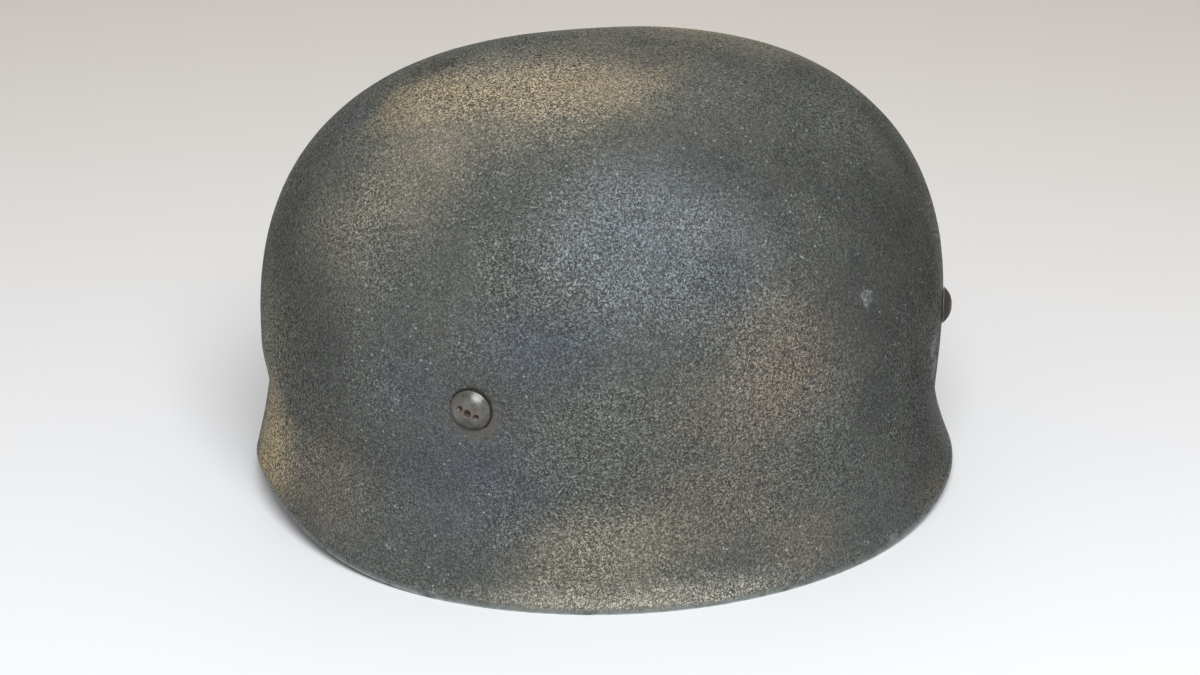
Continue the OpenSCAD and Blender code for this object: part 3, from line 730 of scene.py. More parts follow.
def paint_shell(tree, vector):
    """Camouflage paint: sprayed patches with a painted sheen and painted shade among them, then the grain
    with painted glints and painted shade in its dips, the wear and grime with painted shade round the bolt
    heads and painted light on the rim, and the plain coat inside.
    """
    sand = use(tree, SAND, Vector=vector, Grain_size=0.78)
    grains_and_glints = sand.out("Grains")
    hollow_shade = sand.out("Hollows")
    clouds = noise_field(tree, vector, 16, 4, 0.6)
    base = mix(tree, ease(0.35, 0.65, clouds), colour(0.049, 0.053, 0.045), colour(0.071, 0.073, 0.061))
    wide = noise_field(tree, vector, 34, 4, 0.62) - 0.5
    speckle = noise_field(tree, vector, 500, 2, 0.65) - 0.5
    ragged = wide * 0.9 + speckle * 0.9
    # Sprayed patches, with the painted sheen and the painted shade among them
    for centre, size, tint, strength in PATCHES:
        base = mix(tree, sprayed(tree, vector, centre, size, ragged) * strength, base, tint)
    # The grain's dips are darkened near to black as painted shade, and its specks made several times paler,
    # partly as painted glints; the clouds set how strong both are
    contrast = 0.6 + 0.4 * ease(0.36, 0.6, clouds)
    black = mix(tree, 0.94, base, colour(0.003, 0.004, 0.004))
    bright = mix(tree, 1, base, colour(5.1, 5.35, 5.5), "MULTIPLY")
    shown = mix(tree, hollow_shade * contrast, base, black)
    shown = mix(tree, grains_and_glints * contrast, shown, bright)
    # Sparse pale flecks, partly sand in the paint and partly painted glints
    specks = 1 - ease(0.08, 0.15, cells(tree, vector, 290))
    flecks_and_glints = specks * ease(0.47, 0.56, noise_field(tree, vector, 60, 2))
    shown = mix(tree, flecks_and_glints * 0.8, shown, colour(0.34, 0.36, 0.36))
    clean, ring, stain = bolt_marks(tree, vector, wide, speckle)
    shown = mix(tree, clean * 0.6, shown, colour(0.080, 0.084, 0.072))
    shown = mix(tree, stain * 0.6, shown, colour(0.052, 0.036, 0.024))
    # Near black ring at the edge of each bolt head: grime, and painted shade in the gap under the head
    shown = mix(tree, ring * 0.92, shown, colour(0.010, 0.008, 0.007))
    chips = ease(0.665, 0.70, noise_field(tree, vector, 120, 4, 0.7))
    low_down = 1 - ease(0.002, 0.012, add(tree, "ShaderNodeSeparateXYZ", {0: vector}).out(2))
    shown = mix(tree, clamp(chips * (0.12 + low_down * 0.8)), shown, colour(0.30, 0.32, 0.31))
    for centre, size, tint in MARKS:
        mask = sprayed(tree, vector, centre, (size, size, size), speckle * 2.4)
        shown = mix(tree, ease(0.35, 0.75, mask) * (0.12 + 0.88 * grains_and_glints), shown, tint)
    dusty = dusted(tree, vector, 0.09, shown, colour(0.34, 0.32, 0.28))
    outside = attribute(tree, "outside")
    scratches = noise_field(tree, vector_op(tree, "MULTIPLY", vector, (0.3, 1, 1.4)), 420, 4, 0.7)
    plain = mix(tree, ease(0.4, 0.62, clouds), colour(0.075, 0.084, 0.080), colour(0.105, 0.115, 0.108))
    inside = mix(tree, ease(0.6, 0.72, scratches) * 0.6, plain, colour(0.19, 0.175, 0.15))
    both = mix(tree, outside, inside, dusty)
    # Worn pale paint at the rim, made paler than wear alone as painted light on the bead, which faces down
    # into shade
    rim_wear_and_light = attribute(tree, "rim") * ease(0.3, 0.55, noise_field(tree, vector, 200, 4, 0.65))
    edged = mix(tree, rim_wear_and_light, both, colour(0.40, 0.45, 0.42))
    height = sand * (1 - clean * 0.7) * outside + scratches * (1 - outside) * 0.12
    # Rough paint shades its own grains where it is seen at a slant, so the gloss fades there
    slant = add(tree, "ShaderNodeLayerWeight", {"Blend": 0.5}).out("Facing")
    gloss = (0.62 - 0.58 * ease(0.15, 0.75, slant)) * (1 - ring * 0.8)
    return {"colour": edged, "rough": 0.33 - grains_and_glints * 0.06 + hollow_shade * 0.3, "specular": gloss,
            "bumps": [(noise_field(tree, vector, 90, 3, 0.55), 0.4), (height, 1.3)]}


# Small marks on the shell: place, size in mm and tint
MARKS = [
    ((15.6, 84, 128.3), 1.5, colour(0.17, 0.20, 0.27)),
    ((-24.3, 80, 130.1), 2.2, colour(0.012, 0.013, 0.016)),
    ((-21.8, 85.9, 124.4), 1.8, colour(0.012, 0.013, 0.016)),
    ((-53.3, 95, 92.9), 4.2, colour(0.42, 0.44, 0.46)),
    ((-49, 97.5, 97), 2.2, colour(0.40, 0.42, 0.44)),
    ((-96.5, 71.5, 60), 6, colour(0.55, 0.52, 0.50)),
    ((-99.5, 68, 49), 5.5, colour(0.55, 0.52, 0.50)),
    ((-67.3, 102.5, 3.1), 4.6, colour(0.46, 0.46, 0.48)),
    ((106.1, 71, 14.1), 2.2, colour(0.34, 0.34, 0.33)),
    ((105.2, 66.7, 70.4), 1.8, colour(0.30, 0.31, 0.32)),
    ((103.1, 69.5, 66.8), 2.4, colour(0.32, 0.33, 0.34)),
]


def paint_metal(dark, light, rough, spots=0.3, rust=None, marked=None):
    """Worn metal: clouds between two tones, fine scratches, dark spots and worn bright edges. marked is
    the tint where the piece's edge attribute is set, in place of the bright edges."""
    def paint(tree, vector):
        clouds = noise_field(tree, vector, 210, 5, 0.65)
        fine = noise_field(tree, vector, 2600, 2, 0.6)
        stretched = vector_op(tree, "MULTIPLY", vector, (0.25, 1, 1.6))
        lines = noise_field(tree, stretched, 3600, 1, 0.4)
        shown = mix(tree, ease(0.3, 0.7, clouds), dark, light)
        pits = ease(0.58, 0.72, noise_field(tree, vector, 950, 3, 0.6)) * spots
        shown = mix(tree, pits, shown, colour(0.02, 0.017, 0.014))
        if rust is not None:
            patches = ease(0.5, 0.68, noise_field(tree, vector, 340, 4, 0.62))
            shown = mix(tree, patches * 0.7, shown, rust)
        uneven = rough + (clouds - 0.5) * 0.35 + (lines - 0.5) * 0.12
        bumps = [(clouds, 0.05), (fine * 0.5 + lines * 0.5, 0.02)]
        if marked is None:
            bright = mix(tree, 0.6, light, colour(0.8, 0.79, 0.76))
            worn = mix(tree, use(tree, WEAR, Vector=vector) * 0.6, shown, bright)
            return {"colour": worn, "rough": clamp(uneven), "bumps": bumps}
        mark = attribute(tree, "edge")
        # Where the edge mark is high: near black and dull, grime with painted shade
        dirt_and_shade = ease(0.7, 0.92, mark + (clouds - 0.5) * 0.3)
        tinted = mix(tree, ease(0.1, 0.5, mark) * 0.85, shown, marked)
        grime_and_shade = mix(tree, dirt_and_shade * 0.95, tinted, colour(0.016, 0.011, 0.009))
        return {"colour": grime_and_shade, "rough": clamp(uneven + dirt_and_shade * 0.45), "metallic": 0.55 * (1 - dirt_and_shade),
                "coat": 0.25 * (1 - dirt_and_shade), "bumps": bumps}
    return paint


def paint_leather(dark, light, cell, burnish, rough, depth):
    """Leather with grain, handling marks and darker edges. It reads the piece's own edge attribute."""
    def paint(tree, vector):
        height = use(tree, LEATHER, Vector=vector, Cell_size=cell)
        creases = height.out("Creases")
        tone = height.out("Tone")
        handled = mix(tree, 0.5, light, colour(0.62, 0.45, 0.28))
        deep = mix(tree, 0.6, dark, colour(0, 0, 0))
        burnt = mix(tree, 0.55, dark, colour(0.01, 0.006, 0.004))
        shown = mix(tree, ease(0.3, 0.72, tone), dark, light)
        shown = mix(tree, ease(0.55, 0.75, noise_field(tree, vector, 95, 4, 0.6)) * 0.45, shown, handled)
        shown = mix(tree, creases * 0.55, shown, deep)
        shown = mix(tree, clamp(attribute(tree, "edge")) * burnish, shown, burnt)
        dusty = dusted(tree, vector, 0.16, shown, colour(0.42, 0.37, 0.30))
        return {"colour": dusty, "rough": clamp(rough + creases * 0.25 - tone * 0.15),
                "bumps": [(height, depth), (noise_field(tree, vector, 120, 2), 0.25)]}
    return paint


def paint_rubber(tree, vector):
    clouds = noise_field(tree, vector, 130, 4, 0.6)
    fine = noise_field(tree, vector, 1900, 2, 0.6)
    base = mix(tree, ease(0.35, 0.7, clouds), colour(0.022, 0.021, 0.020), colour(0.052, 0.049, 0.045))
    dusty = dusted(tree, vector, 0.45, base, colour(0.27, 0.25, 0.22))
    return {"colour": dusty, "rough": 0.62 + fine * 0.25, "bumps": [(fine, 0.05), (clouds, 0.2)]}


def paint_sponge(tree, vector):
    """Sponge rubber: open cells of two sizes with darker insides, yellowed in patches."""
    large = cells(tree, vector, 520)
    small = cells(tree, vector, 1300)
    hollow = clamp((1 - ease(0.12, 0.42, large)) + (1 - ease(0.1, 0.38, small)) * 0.5)
    tone = noise_field(tree, vector, 60, 4, 0.6)
    base = mix(tree, ease(0.35, 0.68, tone), colour(0.30, 0.245, 0.165), colour(0.40, 0.345, 0.255))
    shown = mix(tree, hollow * 0.75, base, colour(0.10, 0.075, 0.048))
    return {"colour": shown, "rough": 0.86 + hollow * 0.1, "bumps": [(1 - hollow, 0.5), (tone, 0.6)]}


def paint_thread(tree, vector):
    twist = noise_field(tree, vector, 5200, 1)
    tone = noise_field(tree, vector, 180, 3)
    base = mix(tree, ease(0.35, 0.7, tone), colour(0.30, 0.235, 0.15), colour(0.46, 0.38, 0.27))
    shown = mix(tree, ease(0.5, 0.7, twist) * 0.5, base, colour(0.13, 0.09, 0.055))
    return {"colour": shown, "rough": 0.75 + twist * 0.2, "bumps": [(twist, 0.05)]}


PAINT = material("camouflage paint", paint_shell)
BOLT_STEEL = material("worn bolt steel", paint_metal(
    colour(0.052, 0.052, 0.042), colour(0.150, 0.148, 0.134), 0.33, 0.35, rust=colour(0.090, 0.064, 0.050),
    marked=colour(0.150, 0.108, 0.092)), coat_rough=0.28)
ZINC = material("dull zinc", paint_metal(
    colour(0.36, 0.355, 0.34), colour(0.52, 0.51, 0.49), 0.45), metallic=0.9)
ALUMINIUM = material("dull aluminium", paint_metal(
    colour(0.46, 0.46, 0.45), colour(0.64, 0.64, 0.62), 0.42, 0.2), metallic=0.9)
RIVET_METAL = material("rivet metal", paint_metal(
    colour(0.42, 0.415, 0.39), colour(0.66, 0.65, 0.62), 0.36, 0.3), metallic=0.95)
BRASS = material("aged brass", paint_metal(
    colour(0.33, 0.25, 0.11), colour(0.58, 0.46, 0.24), 0.38, 0.35), metallic=0.95)
BUCKLE_STEEL = material("grey buckle steel", paint_metal(
    colour(0.20, 0.19, 0.175), colour(0.36, 0.35, 0.33), 0.38, 0.4, rust=colour(0.16, 0.095, 0.055)),
    metallic=0.9)
NICKEL = material("dull nickel", paint_metal(
    colour(0.42, 0.40, 0.36), colour(0.62, 0.60, 0.56), 0.3, 0.2), metallic=1)
RUBBER = material("black rubber", paint_rubber)
SPONGE = material("sponge rubber", paint_sponge, specular=0.25)
LINER_LEATHER = material("liner leather", paint_leather(
    colour(0.17, 0.088, 0.038), colour(0.33, 0.185, 0.085), 1.1, 0.6, 0.46, 0.25), specular=0.45)
STRAP_LEATHER = material("strap leather", paint_leather(
    colour(0.075, 0.040, 0.022), colour(0.155, 0.085, 0.045), 0.8, 0.7, 0.42, 0.18), specular=0.5)
THREAD = material("waxed thread", paint_thread)


# Node trees that shape, drill, fasten and sew

def shell_tree():
    """The shell's surface worked out on a grid, with lumps of thick paint and shallow dents."""
    sizes = [(name, FLOAT, value) for name, value in SHELL.items()]
    tree, given, out = geometry_group("Rimless shell", sizes + [
        ("Columns", INTEGER, 400), ("Rows", INTEGER, 170), ("Lump height", FLOAT, 0.12),
        ("Lump width", FLOAT, 9), ("Dent depth", FLOAT, 0.3), ("Dent width", FLOAT, 55),
        ("Paint", MATERIAL, None)])
    grid = add(tree, "GeometryNodeMeshGrid", {"Size X": 1, "Size Y": 1,
                                              "Vertices X": given["Columns"], "Vertices Y": given["Rows"]})
    flat = add(tree, "ShaderNodeSeparateXYZ", {0: add(tree, "GeometryNodeInputPosition")})
    v = (flat + 0.5) * 2 * math.pi
    w = flat.out(1) + 0.5
    # Along w the path runs from the outer pole down to the rim, round it, and up to the inner pole
    outer_end = 0.68
    rim_end = 0.715
    outer_share = clamp(w / outer_end)
    rim_share = clamp((w - outer_end) / (rim_end - outer_end))
    inner_share = clamp((w - rim_end) / (1 - rim_end))
    depth = given["Wall"] * 0.5 * (1 - op("COSINE", rim_share * math.pi))
    down = outer_share - inner_share
    dome_part = 0.76
    dome_share = 1 - clamp(down / dome_part)
    skirt_share = clamp((down - dome_part) / (1 - dome_part))
    crown = given["Height"] - depth - given["Widest height"]
    rise = op("POWER", op("MAXIMUM", op("SINE", dome_share * math.pi / 2), 0), POLE_POWER)
    rim = rim_height(op("COSINE", v), given)
    low = rim + given["Wall"] * 0.5
    bead = given["Wall"] * 0.5 * op("SINE", rim_share * math.pi)
    z = given["Widest height"] + crown * rise + (low - given["Widest height"]) * skirt_share - bead
    point = add(tree, "ShaderNodeCombineXYZ", dict(enumerate(metres(wall_point(v, z, depth, given)))))
    outside = 1 - op("GREATER_THAN", w, outer_end)
    masks = {
        "outside": outside,
        "lumps": outside * ease(0, 5, z - rim),
        "rim": op("MAXIMUM", clamp(bead * 3), 0.8 * (1 - ease(0, 1.2, z - rim))),
    }
    # The masks go on the flat grid, where the places of its points still say how far along they lie
    marked = grid
    for label, mask in masks.items():
        marked = add(tree, "GeometryNodeStoreNamedAttribute",
                     {"Geometry": marked, "Name": label, "Value": mask}, data_type="FLOAT", domain="POINT")
    shaped = add(tree, "GeometryNodeSetPosition", {"Geometry": marked, "Position": point})
    closed = add(tree, "GeometryNodeMergeByDistance", {"Geometry": shaped, "Distance": 1e-6})
    where = add(tree, "GeometryNodeInputPosition")
    normal = add(tree, "GeometryNodeInputNormal")
    mask = add(tree, "GeometryNodeInputNamedAttribute", {"Name": "lumps"}, data_type="FLOAT")
    lumps = noise_field(tree, where, 1 / MM / given["Lump width"], 3, 0.6) - 0.5
    dents = noise_field(tree, where, 1 / MM / given["Dent width"], 1, 0.4) - 0.5
    height = (lumps * given["Lump height"] + dents * given["Dent depth"]) * 2 * MM * mask
    offset = add(tree, "ShaderNodeVectorMath", {0: normal, "Scale": height}, operation="SCALE")
    lumpy = add(tree, "GeometryNodeSetPosition", {"Geometry": closed, "Offset": offset})
    smoothed = add(tree, "GeometryNodeSetShadeSmooth", {"Geometry": lumpy, "Shade Smooth": True})
    return end_tree(tree, out, smoothed, given["Paint"])


def facing_turn(tree):
    """Rotation that turns +Z to the way that a point faces."""
    way = add(tree, "GeometryNodeInputNamedAttribute", {"Name": "way"}, data_type="FLOAT_VECTOR")
    return add(tree, "FunctionNodeAlignRotationToVector", {"Vector": way}, axis="Z")


def on_points(tree, points, instance, turn):
    inputs = {"Points": points, "Instance": instance, "Rotation": turn}
    return add(tree, "GeometryNodeInstanceOnPoints", inputs)


def drill_tree():
    """Drills round holes at points, along the way each point faces."""
    tree, given, out = geometry_group("Drilled holes", [
        ("Places", OBJECT, None), ("Diameter", FLOAT, 3), ("Length", FLOAT, 10), ("Sides", INTEGER, 24),
        ("Finish", MATERIAL, None)])
    places = add(tree, "GeometryNodeObjectInfo", {"Object": given["Places"]}).out("Geometry")
    cutter = add(tree, "GeometryNodeMeshCylinder", {
        "Vertices": given["Sides"], "Radius": given["Diameter"] * MM / 2, "Depth": given["Length"] * MM})
    cutters = on_points(tree, places, cutter, facing_turn(tree))
    solid = add(tree, "GeometryNodeRealizeInstances", {"Geometry": cutters})
    cut = add(tree, "GeometryNodeMeshBoolean", {"Mesh 1": given["Geometry"], "Mesh 2": solid},
              operation="DIFFERENCE", solver="EXACT")
    return end_tree(tree, out, cut, given["Finish"])


def fasten_tree():
    """Sets a small piece on every point, turned the way the point faces and spun at random."""
    tree, given, out = geometry_group("Set on points", [
        ("Piece", OBJECT, None), ("Spin", FLOAT, 6.28), ("Seed", INTEGER, 3), ("Finish", MATERIAL, None)])
    piece = add(tree, "GeometryNodeObjectInfo", {"Object": given["Piece"]}).out("Geometry")
    placed = on_points(tree, given["Geometry"], piece, facing_turn(tree))
    limits = {"Seed": given["Seed"], 3: given["Spin"]}
    drawn = add(tree, "FunctionNodeRandomValue", limits, data_type="FLOAT").out(1)
    axis = add(tree, "ShaderNodeCombineXYZ", {2: drawn})
    spun = add(tree, "GeometryNodeRotateInstances",
               {"Instances": placed, "Rotation": axis, "Local Space": True})
    return end_tree(tree, out, spun, given["Finish"])


def sewing_tree():
    """Sews along a line: short stitches, sunk a little into the leather."""
    tree, given, out = geometry_group("Sewn line", [
        ("Pitch", FLOAT, 3), ("Stitch length", FLOAT, 2.2), ("Thread", FLOAT, 0.7),
        ("Finish", MATERIAL, None)])
    line = add(tree, "GeometryNodeMeshToCurve", {"Mesh": given["Geometry"]})
    spaced = add(tree, "GeometryNodeResampleCurve", {"Curve": line, "Length": given["Pitch"] * MM},
                 mode="LENGTH")
    ball = add(tree, "GeometryNodeMeshUVSphere", {"Segments": 8, "Rings": 5, "Radius": 0.5 * MM})
    thread = given["Thread"]
    size = add(tree, "ShaderNodeCombineXYZ", {0: thread, 1: thread, 2: given["Stitch length"]})
    stitch = add(tree, "GeometryNodeTransform", {"Geometry": ball, "Scale": size})
    tangent = add(tree, "GeometryNodeInputTangent")
    turn = add(tree, "FunctionNodeAlignRotationToVector", {"Vector": tangent}, axis="Z")
    stitches = on_points(tree, spaced, stitch, turn)
    smoothed = add(tree, "GeometryNodeSetShadeSmooth", {"Geometry": stitches, "Shade Smooth": True})
    return end_tree(tree, out, smoothed, given["Finish"])


SHELL_TREE = shell_tree()
DRILL_TREE = drill_tree()
FASTEN_TREE = fasten_tree()
SEWING_TREE = sewing_tree()


def drilled(obj, places, diameter, length, finish, sides=24):
    """Cuts round holes through a piece. places is a list of (place in mm, way)."""
    marks = points_object("drill places", places)
    run_tree(obj, DRILL_TREE, {"Places": marks, "Diameter": float(diameter), "Length": float(length),
                               "Sides": sides, "Finish": finish})
    drop(marks)


def fastened(name, piece, places, finish):
    """Sets copies of a small piece on places."""
    return run_tree(points_object(name, places), FASTEN_TREE, {"Piece": piece, "Finish": finish})


def sewn(name, lines, mirrored, pitch=3.0, stitch=2.2, thread=0.75):
    """Stitches along polylines in mm."""
    points = []
    edges = []
    for line in lines:
        start = len(points)
        points += [Vector((p[0], -p[1] if mirrored else p[1], p[2])) * MM for p in line]
        edges += [(start + i, start + i + 1) for i in range(len(line) - 1)]
    mesh = bpy.data.meshes.new(name)
    mesh.from_pydata(points, edges, [])
    return run_tree(new_object(name, mesh), SEWING_TREE, {
        "Pitch": float(pitch), "Stitch length": float(stitch), "Thread": float(thread), "Finish": THREAD})


def bolt_places(depth=0.0):
    """Every bolt's place and axis, the place a depth inside the shell's face."""
    places = []
    for degrees in BOLT_ANGLES.values():
        turn = bolt_frame(degrees)
        axis = turn.to_3x3() @ Vector((0, 0, 1))
        places.append((turn.translation - axis * depth, axis))
    return places


def make_shell():
    name = "steel_shell_piece"
    obj = run_tree(new_object(name, bpy.data.meshes.new(name)), SHELL_TREE, {"Paint": PAINT})
    drilled(obj, bolt_places(), SHANK_D + 0.3, 12, PAINT)
    settle(obj, "helmet", "camouflage_paint", "steel_shell")


# Bolts

def bolt_profile():
    """Profile as (radius, height): domed head, turned shank, and the blind end of the vent."""
    ball = (HEAD_D * HEAD_D / 4 + HEAD_H * HEAD_H) / (2 * HEAD_H)
    radii = [RIM_R * k / DOME_RINGS for k in range(1, DOME_RINGS + 1)]
    dome = [(r, HEAD_H - ball + math.sqrt(ball * ball - r * r)) for r in radii]
    edge = [(RIM_R + HEAD_LIP * math.sin(a), dome[-1][1] - HEAD_LIP * (1 - math.cos(a)) - 0.15 * math.sin(a))
            for a in (0.35, 0.75, 1.15, 1.5)]
    shank = SHANK_D / 2
    under = [(HEAD_D / 2 - 0.1, 0.1), (HEAD_D / 2 - 0.5, -0.15), (shank + 0.3, -0.2), (shank, -0.5)]
    thread = [(shank - THREAD_DEPTH * (k % 2), THREAD_TOP - THREAD_STEP * k) for k in range(THREAD_POINTS)]
    vent = VENT_D / 2
    end = [(shank - 0.5, -SHANK_END), (vent + 0.2, -SHANK_END), (vent, -SHANK_END + 0.2),
           (vent, -SHANK_END + 3), (0, -SHANK_END + 3)]
    return [(0, HEAD_H)] + dome + edge + under + thread + end


def make_bolt(name, degrees, pit_turn, seed):
    """A hollow domed bolt. Its head is worn smooth, with two pits beside the vent. Dirt fills the vent; the
    edge marks darken the pits and the vent with grime and painted shade, and the heads of the rear bolts
    with painted shade.
    """
    points, faces = lathe(list(reversed(bolt_profile())), 128)
    turn = Matrix.Rotation(math.radians(pit_turn), 2)
    holes = [(turn @ Vector((0, side * PIT_REACH)), PIT_D / 2, 0.85) for side in (-1, 1)]
    holes.append((Vector((0, 0)), VENT_D / 2 + 0.05, 1.1))
    place = bolt_frame(degrees)
    at_rear = abs(degrees) > 90
    shaped = []
    worn = []
    for p in points:
        x, y, z = p
        wear = 0
        if z > HEAD_LOW:
            z += 0.09 * grain(p, 3.6, seed) + 0.015 * grain(p, 1.0, seed + 4)
            # The rear bolts face away from the light: their heads are marked dark all over, as painted
            # shade, darkest towards the lip
            if at_rear:
                outer = math.hypot(x, y) / RIM_R + 0.25 * grain(p, 2.2, seed + 6)
                wear = 0.76 + 0.2 * ease(0.2, 0.75, outer)
            for centre, radius, depth in holes:
                away = (Vector((x, y)) - centre).length + 0.07 * grain(p, 0.8, seed + 2)
                beside = away - radius - PIT_EDGE
                z -= depth * (1 - ease(radius - 0.22, radius + 0.06, away))
                z += 0.03 * math.exp(-(beside / PIT_EDGE) ** 2)
                # Inside the pits and the vent the mark is full, grime with painted shade; round their edges
                # it gives a rusty tint
                wear = max(wear, 1 - ease(radius - 0.35, radius - 0.05, away),
                           0.75 * (1 - ease(0.1, 0.55, abs(beside))))
        shaped.append(place @ Vector((x, y, z)))
        worn.append(wear)
    obj = build(name + "_bolt_piece", shaped, faces, BOLT_STEEL, edge=worn)
    settle(obj, "helmet", "worn_bolt_steel", name + "_bolt")


# Rings of metal, foam and leather that follow the shell

def hoop(name, section, steps, finish, shape=None):
    """Closed ring whose section is a list of (depth, height), clockwise seen from further round. shape
    moves each of its points."""
    points = []
    for i in range(steps):
        v = 360 * i / steps
        for depth, z in section:
            if shape is not None:
                depth, z = shape(v, depth, z)
            points.append(wall(v, z, depth))
    return build(name, points, ring_faces(steps, len(section), True), finish)


def rounded_bar(inner, outer, low, high, radius, corner=4, wall_steps=8):
    """Section with rounded corners between two depths and two heights, as (depth, height)."""
    corners = [((inner - radius, low + radius), -90, 0), ((inner - radius, high - radius), 0, 90),
               ((outer + radius, high - radius), 90, 180), ((outer + radius, low + radius), 180, 270)]
    section = []
    for centre, start, end in corners:
        stretch = arc(centre, radius, start, end, corner)
        if section:
            last = section[-1]
            first = stretch[0]
            section += [(last[0] + (first[0] - last[0]) * k / wall_steps,
                         last[1] + (first[1] - last[1]) * k / wall_steps) for k in range(1, wall_steps)]
        section += stretch
    return section[::-1]


def rivet_places(depth=FOLD_FACE):
    angles = [360 * (i + 0.5) / RIVET_COUNT for i in range(RIVET_COUNT)]
    return [(wall(v, RIVET_Z, depth), outward(v)) for v in angles]


def joint_places(depth=JOINT_FACE):
    return [(wall(v, z, depth), outward(v)) for v in JOINT_ANGLES for z in JOINT_HEIGHTS]


def make_band():
    section = rounded_bar(BAND_DEPTH + BAND_T, BAND_DEPTH, BAND_Z, BAND_Z + BAND_H, 0.45)
    obj = hoop("liner_band_piece", section, 240, ALUMINIUM)
    middle = BAND_DEPTH + 0.7
    drilled(obj, bolt_places(middle), SHANK_D + 0.2, 6, ALUMINIUM)
    drilled(obj, rivet_places(middle) + joint_places(middle), 3.2, 5, ALUMINIUM, 16)
    settle(obj, "helmet", "aluminium", "liner_band")


def make_foam_headband():
    """Sponge rubber ring, fuller in the middle of its height, with pockets for the nuts."""
    section = rounded_bar(FOAM_FACE + FOAM_T - 0.1, FOAM_FACE + 0.1, FOAM_LOW, FOAM_HIGH, 2.6, corner=6,
                          wall_steps=10)

    def shape(v, depth, z):
        share = (z - FOAM_LOW) / (FOAM_HIGH - FOAM_LOW)
        inner = ease(FOAM_FACE + 3, FOAM_FACE + FOAM_T - 1, depth)
        depth -= inner * (0.9 * (2 * share - 1) ** 2 + 0.25 * (1 + grain(wall(v, z), 12)))
        return depth, z

    obj = hoop("foam_headband_piece", section, 200, SPONGE, shape)
    drilled(obj, bolt_places(BAND_DEPTH + 5), NUT_POCKET_D, 24, SPONGE, 40)
    settle(obj, "helmet", "sponge_rubber", "foam_headband", pad=0.9)


def cup(name, path, columns, finish, shape, edge=None):
    """Closed cup. path runs from under the inner pole, round the lower edge, to under the outer pole, as
    (depth, height). shape moves each of its points."""
    points = []
    for depth, z in path:
        for i in range(columns):
            v = 360 * i / columns
            d, h = shape(v, depth, z)
            points.append(wall(v, h, d))
    count = len(points)
    points += [(CENTRE_X, 0, SHELL["Height"] - path[end][0]) for end in (0, -1)]
    last = count - columns
    faces = ring_faces(len(path), columns)
    faces += [(count, i, (i + 1) % columns) for i in range(columns)]
    faces += [(last + i, count + 1, last + (i + 1) % columns) for i in range(columns)]
    values = None
    if edge is not None:
        values = [edge(depth, z) for depth, z in path for i in range(columns)] + [0, 0]
    return build(name, points, [tuple(reversed(f)) for f in faces], finish, edge=values)


def make_crown_pad():
    """Sponge rubber pad over the top of the leather dome, with a soft rounded edge."""
    under = LEATHER_FACE - 0.3
    over = under - CROWN_PAD_T
    edge_z = SHELL["Height"] - under - CROWN_LOW
    rows = 40
    low = [(under, dome_z(k / rows, under)) for k in range(rows - 1, 0, -1)]
    low = [p for p in low if p[1] > edge_z + 1.5]
    high = [(over, dome_z(k / rows, over)) for k in range(1, rows)]
    high = [p for p in high if p[1] > edge_z + CROWN_PAD_T + 1.5]
    side = [(under - d, edge_z + h)
            for d, h in ((0.5, 1), (1.6, 1.4), (3.4, 3.4), (5.2, 5.8), (7.2, 8.4), (8.6, 10))]

    def shape(v, depth, z):
        soft = ease(edge_z + 5, edge_z + 9, z) * ease(under - 4, over, depth)
        return depth, z - soft * 0.3 * (1 + grain(wall(v, z), 14))

    obj = cup("crown_pad_piece", low + side + high, 96, SPONGE, shape)
    drilled(obj, vent_places(), VENT_HOLE, 14, SPONGE, 20)
    settle(obj, "helmet", "sponge_rubber", "crown_pad", pad=0.9)


def liner_path():
    """Section of the leather from the inner pole to the outer one, as (depth, height)."""
    rows = 44
    t = LEATHER_T / 2
    back_face = BAND_DEPTH - 0.3
    inner = [(HEAD_FACE, dome_z(k / rows, HEAD_FACE)) for k in range(rows - 1, -1, -1)]
    inner_wall = [(HEAD_FACE, 56 - 0.8 * k) for k in range(1, 4)]
    toe = [(HEAD_FACE - x, z) for x, z in ((0.25, 52.6), (0.8, 51.4), (1.9, 50.3), (3.4, 49.8))]
    under = [(HEAD_FACE - 3.4 - 1.2 * k, LEATHER_Z) for k in range(1, 8)]
    heel = [(FOLD_FACE + x, z) for x, z in ((1.2, 49.8), (0.5, 50.2), (0.1, 51))]
    fold = [(FOLD_FACE, 51 + 0.7 * k) for k in range(1, 10)]
    lip = [(back_face - t + t * math.cos(a), FOLD_TOP - t * 0.6 + t * 0.6 * math.sin(a))
           for a in (math.pi, math.pi * 0.75, math.pi / 2, math.pi * 0.25, 0)]
    back = [(back_face, 56.8 - 1.0 * k) for k in range(5)] + [(back_face, LEATHER_Z + 2)]
    inside = [(BAND_DEPTH + 1.2 * k, LEATHER_Z + 2) for k in range(1, 8)] + [(LEATHER_FACE, LEATHER_Z + 2.2)]
    outer_wall = [(LEATHER_FACE, 53 + k) for k in range(3)]
    outer = [(LEATHER_FACE, dome_z(k / rows, LEATHER_FACE)) for k in range(rows)]
    return inner + inner_wall + toe + under + heel + fold + lip + back + inside + outer_wall + outer


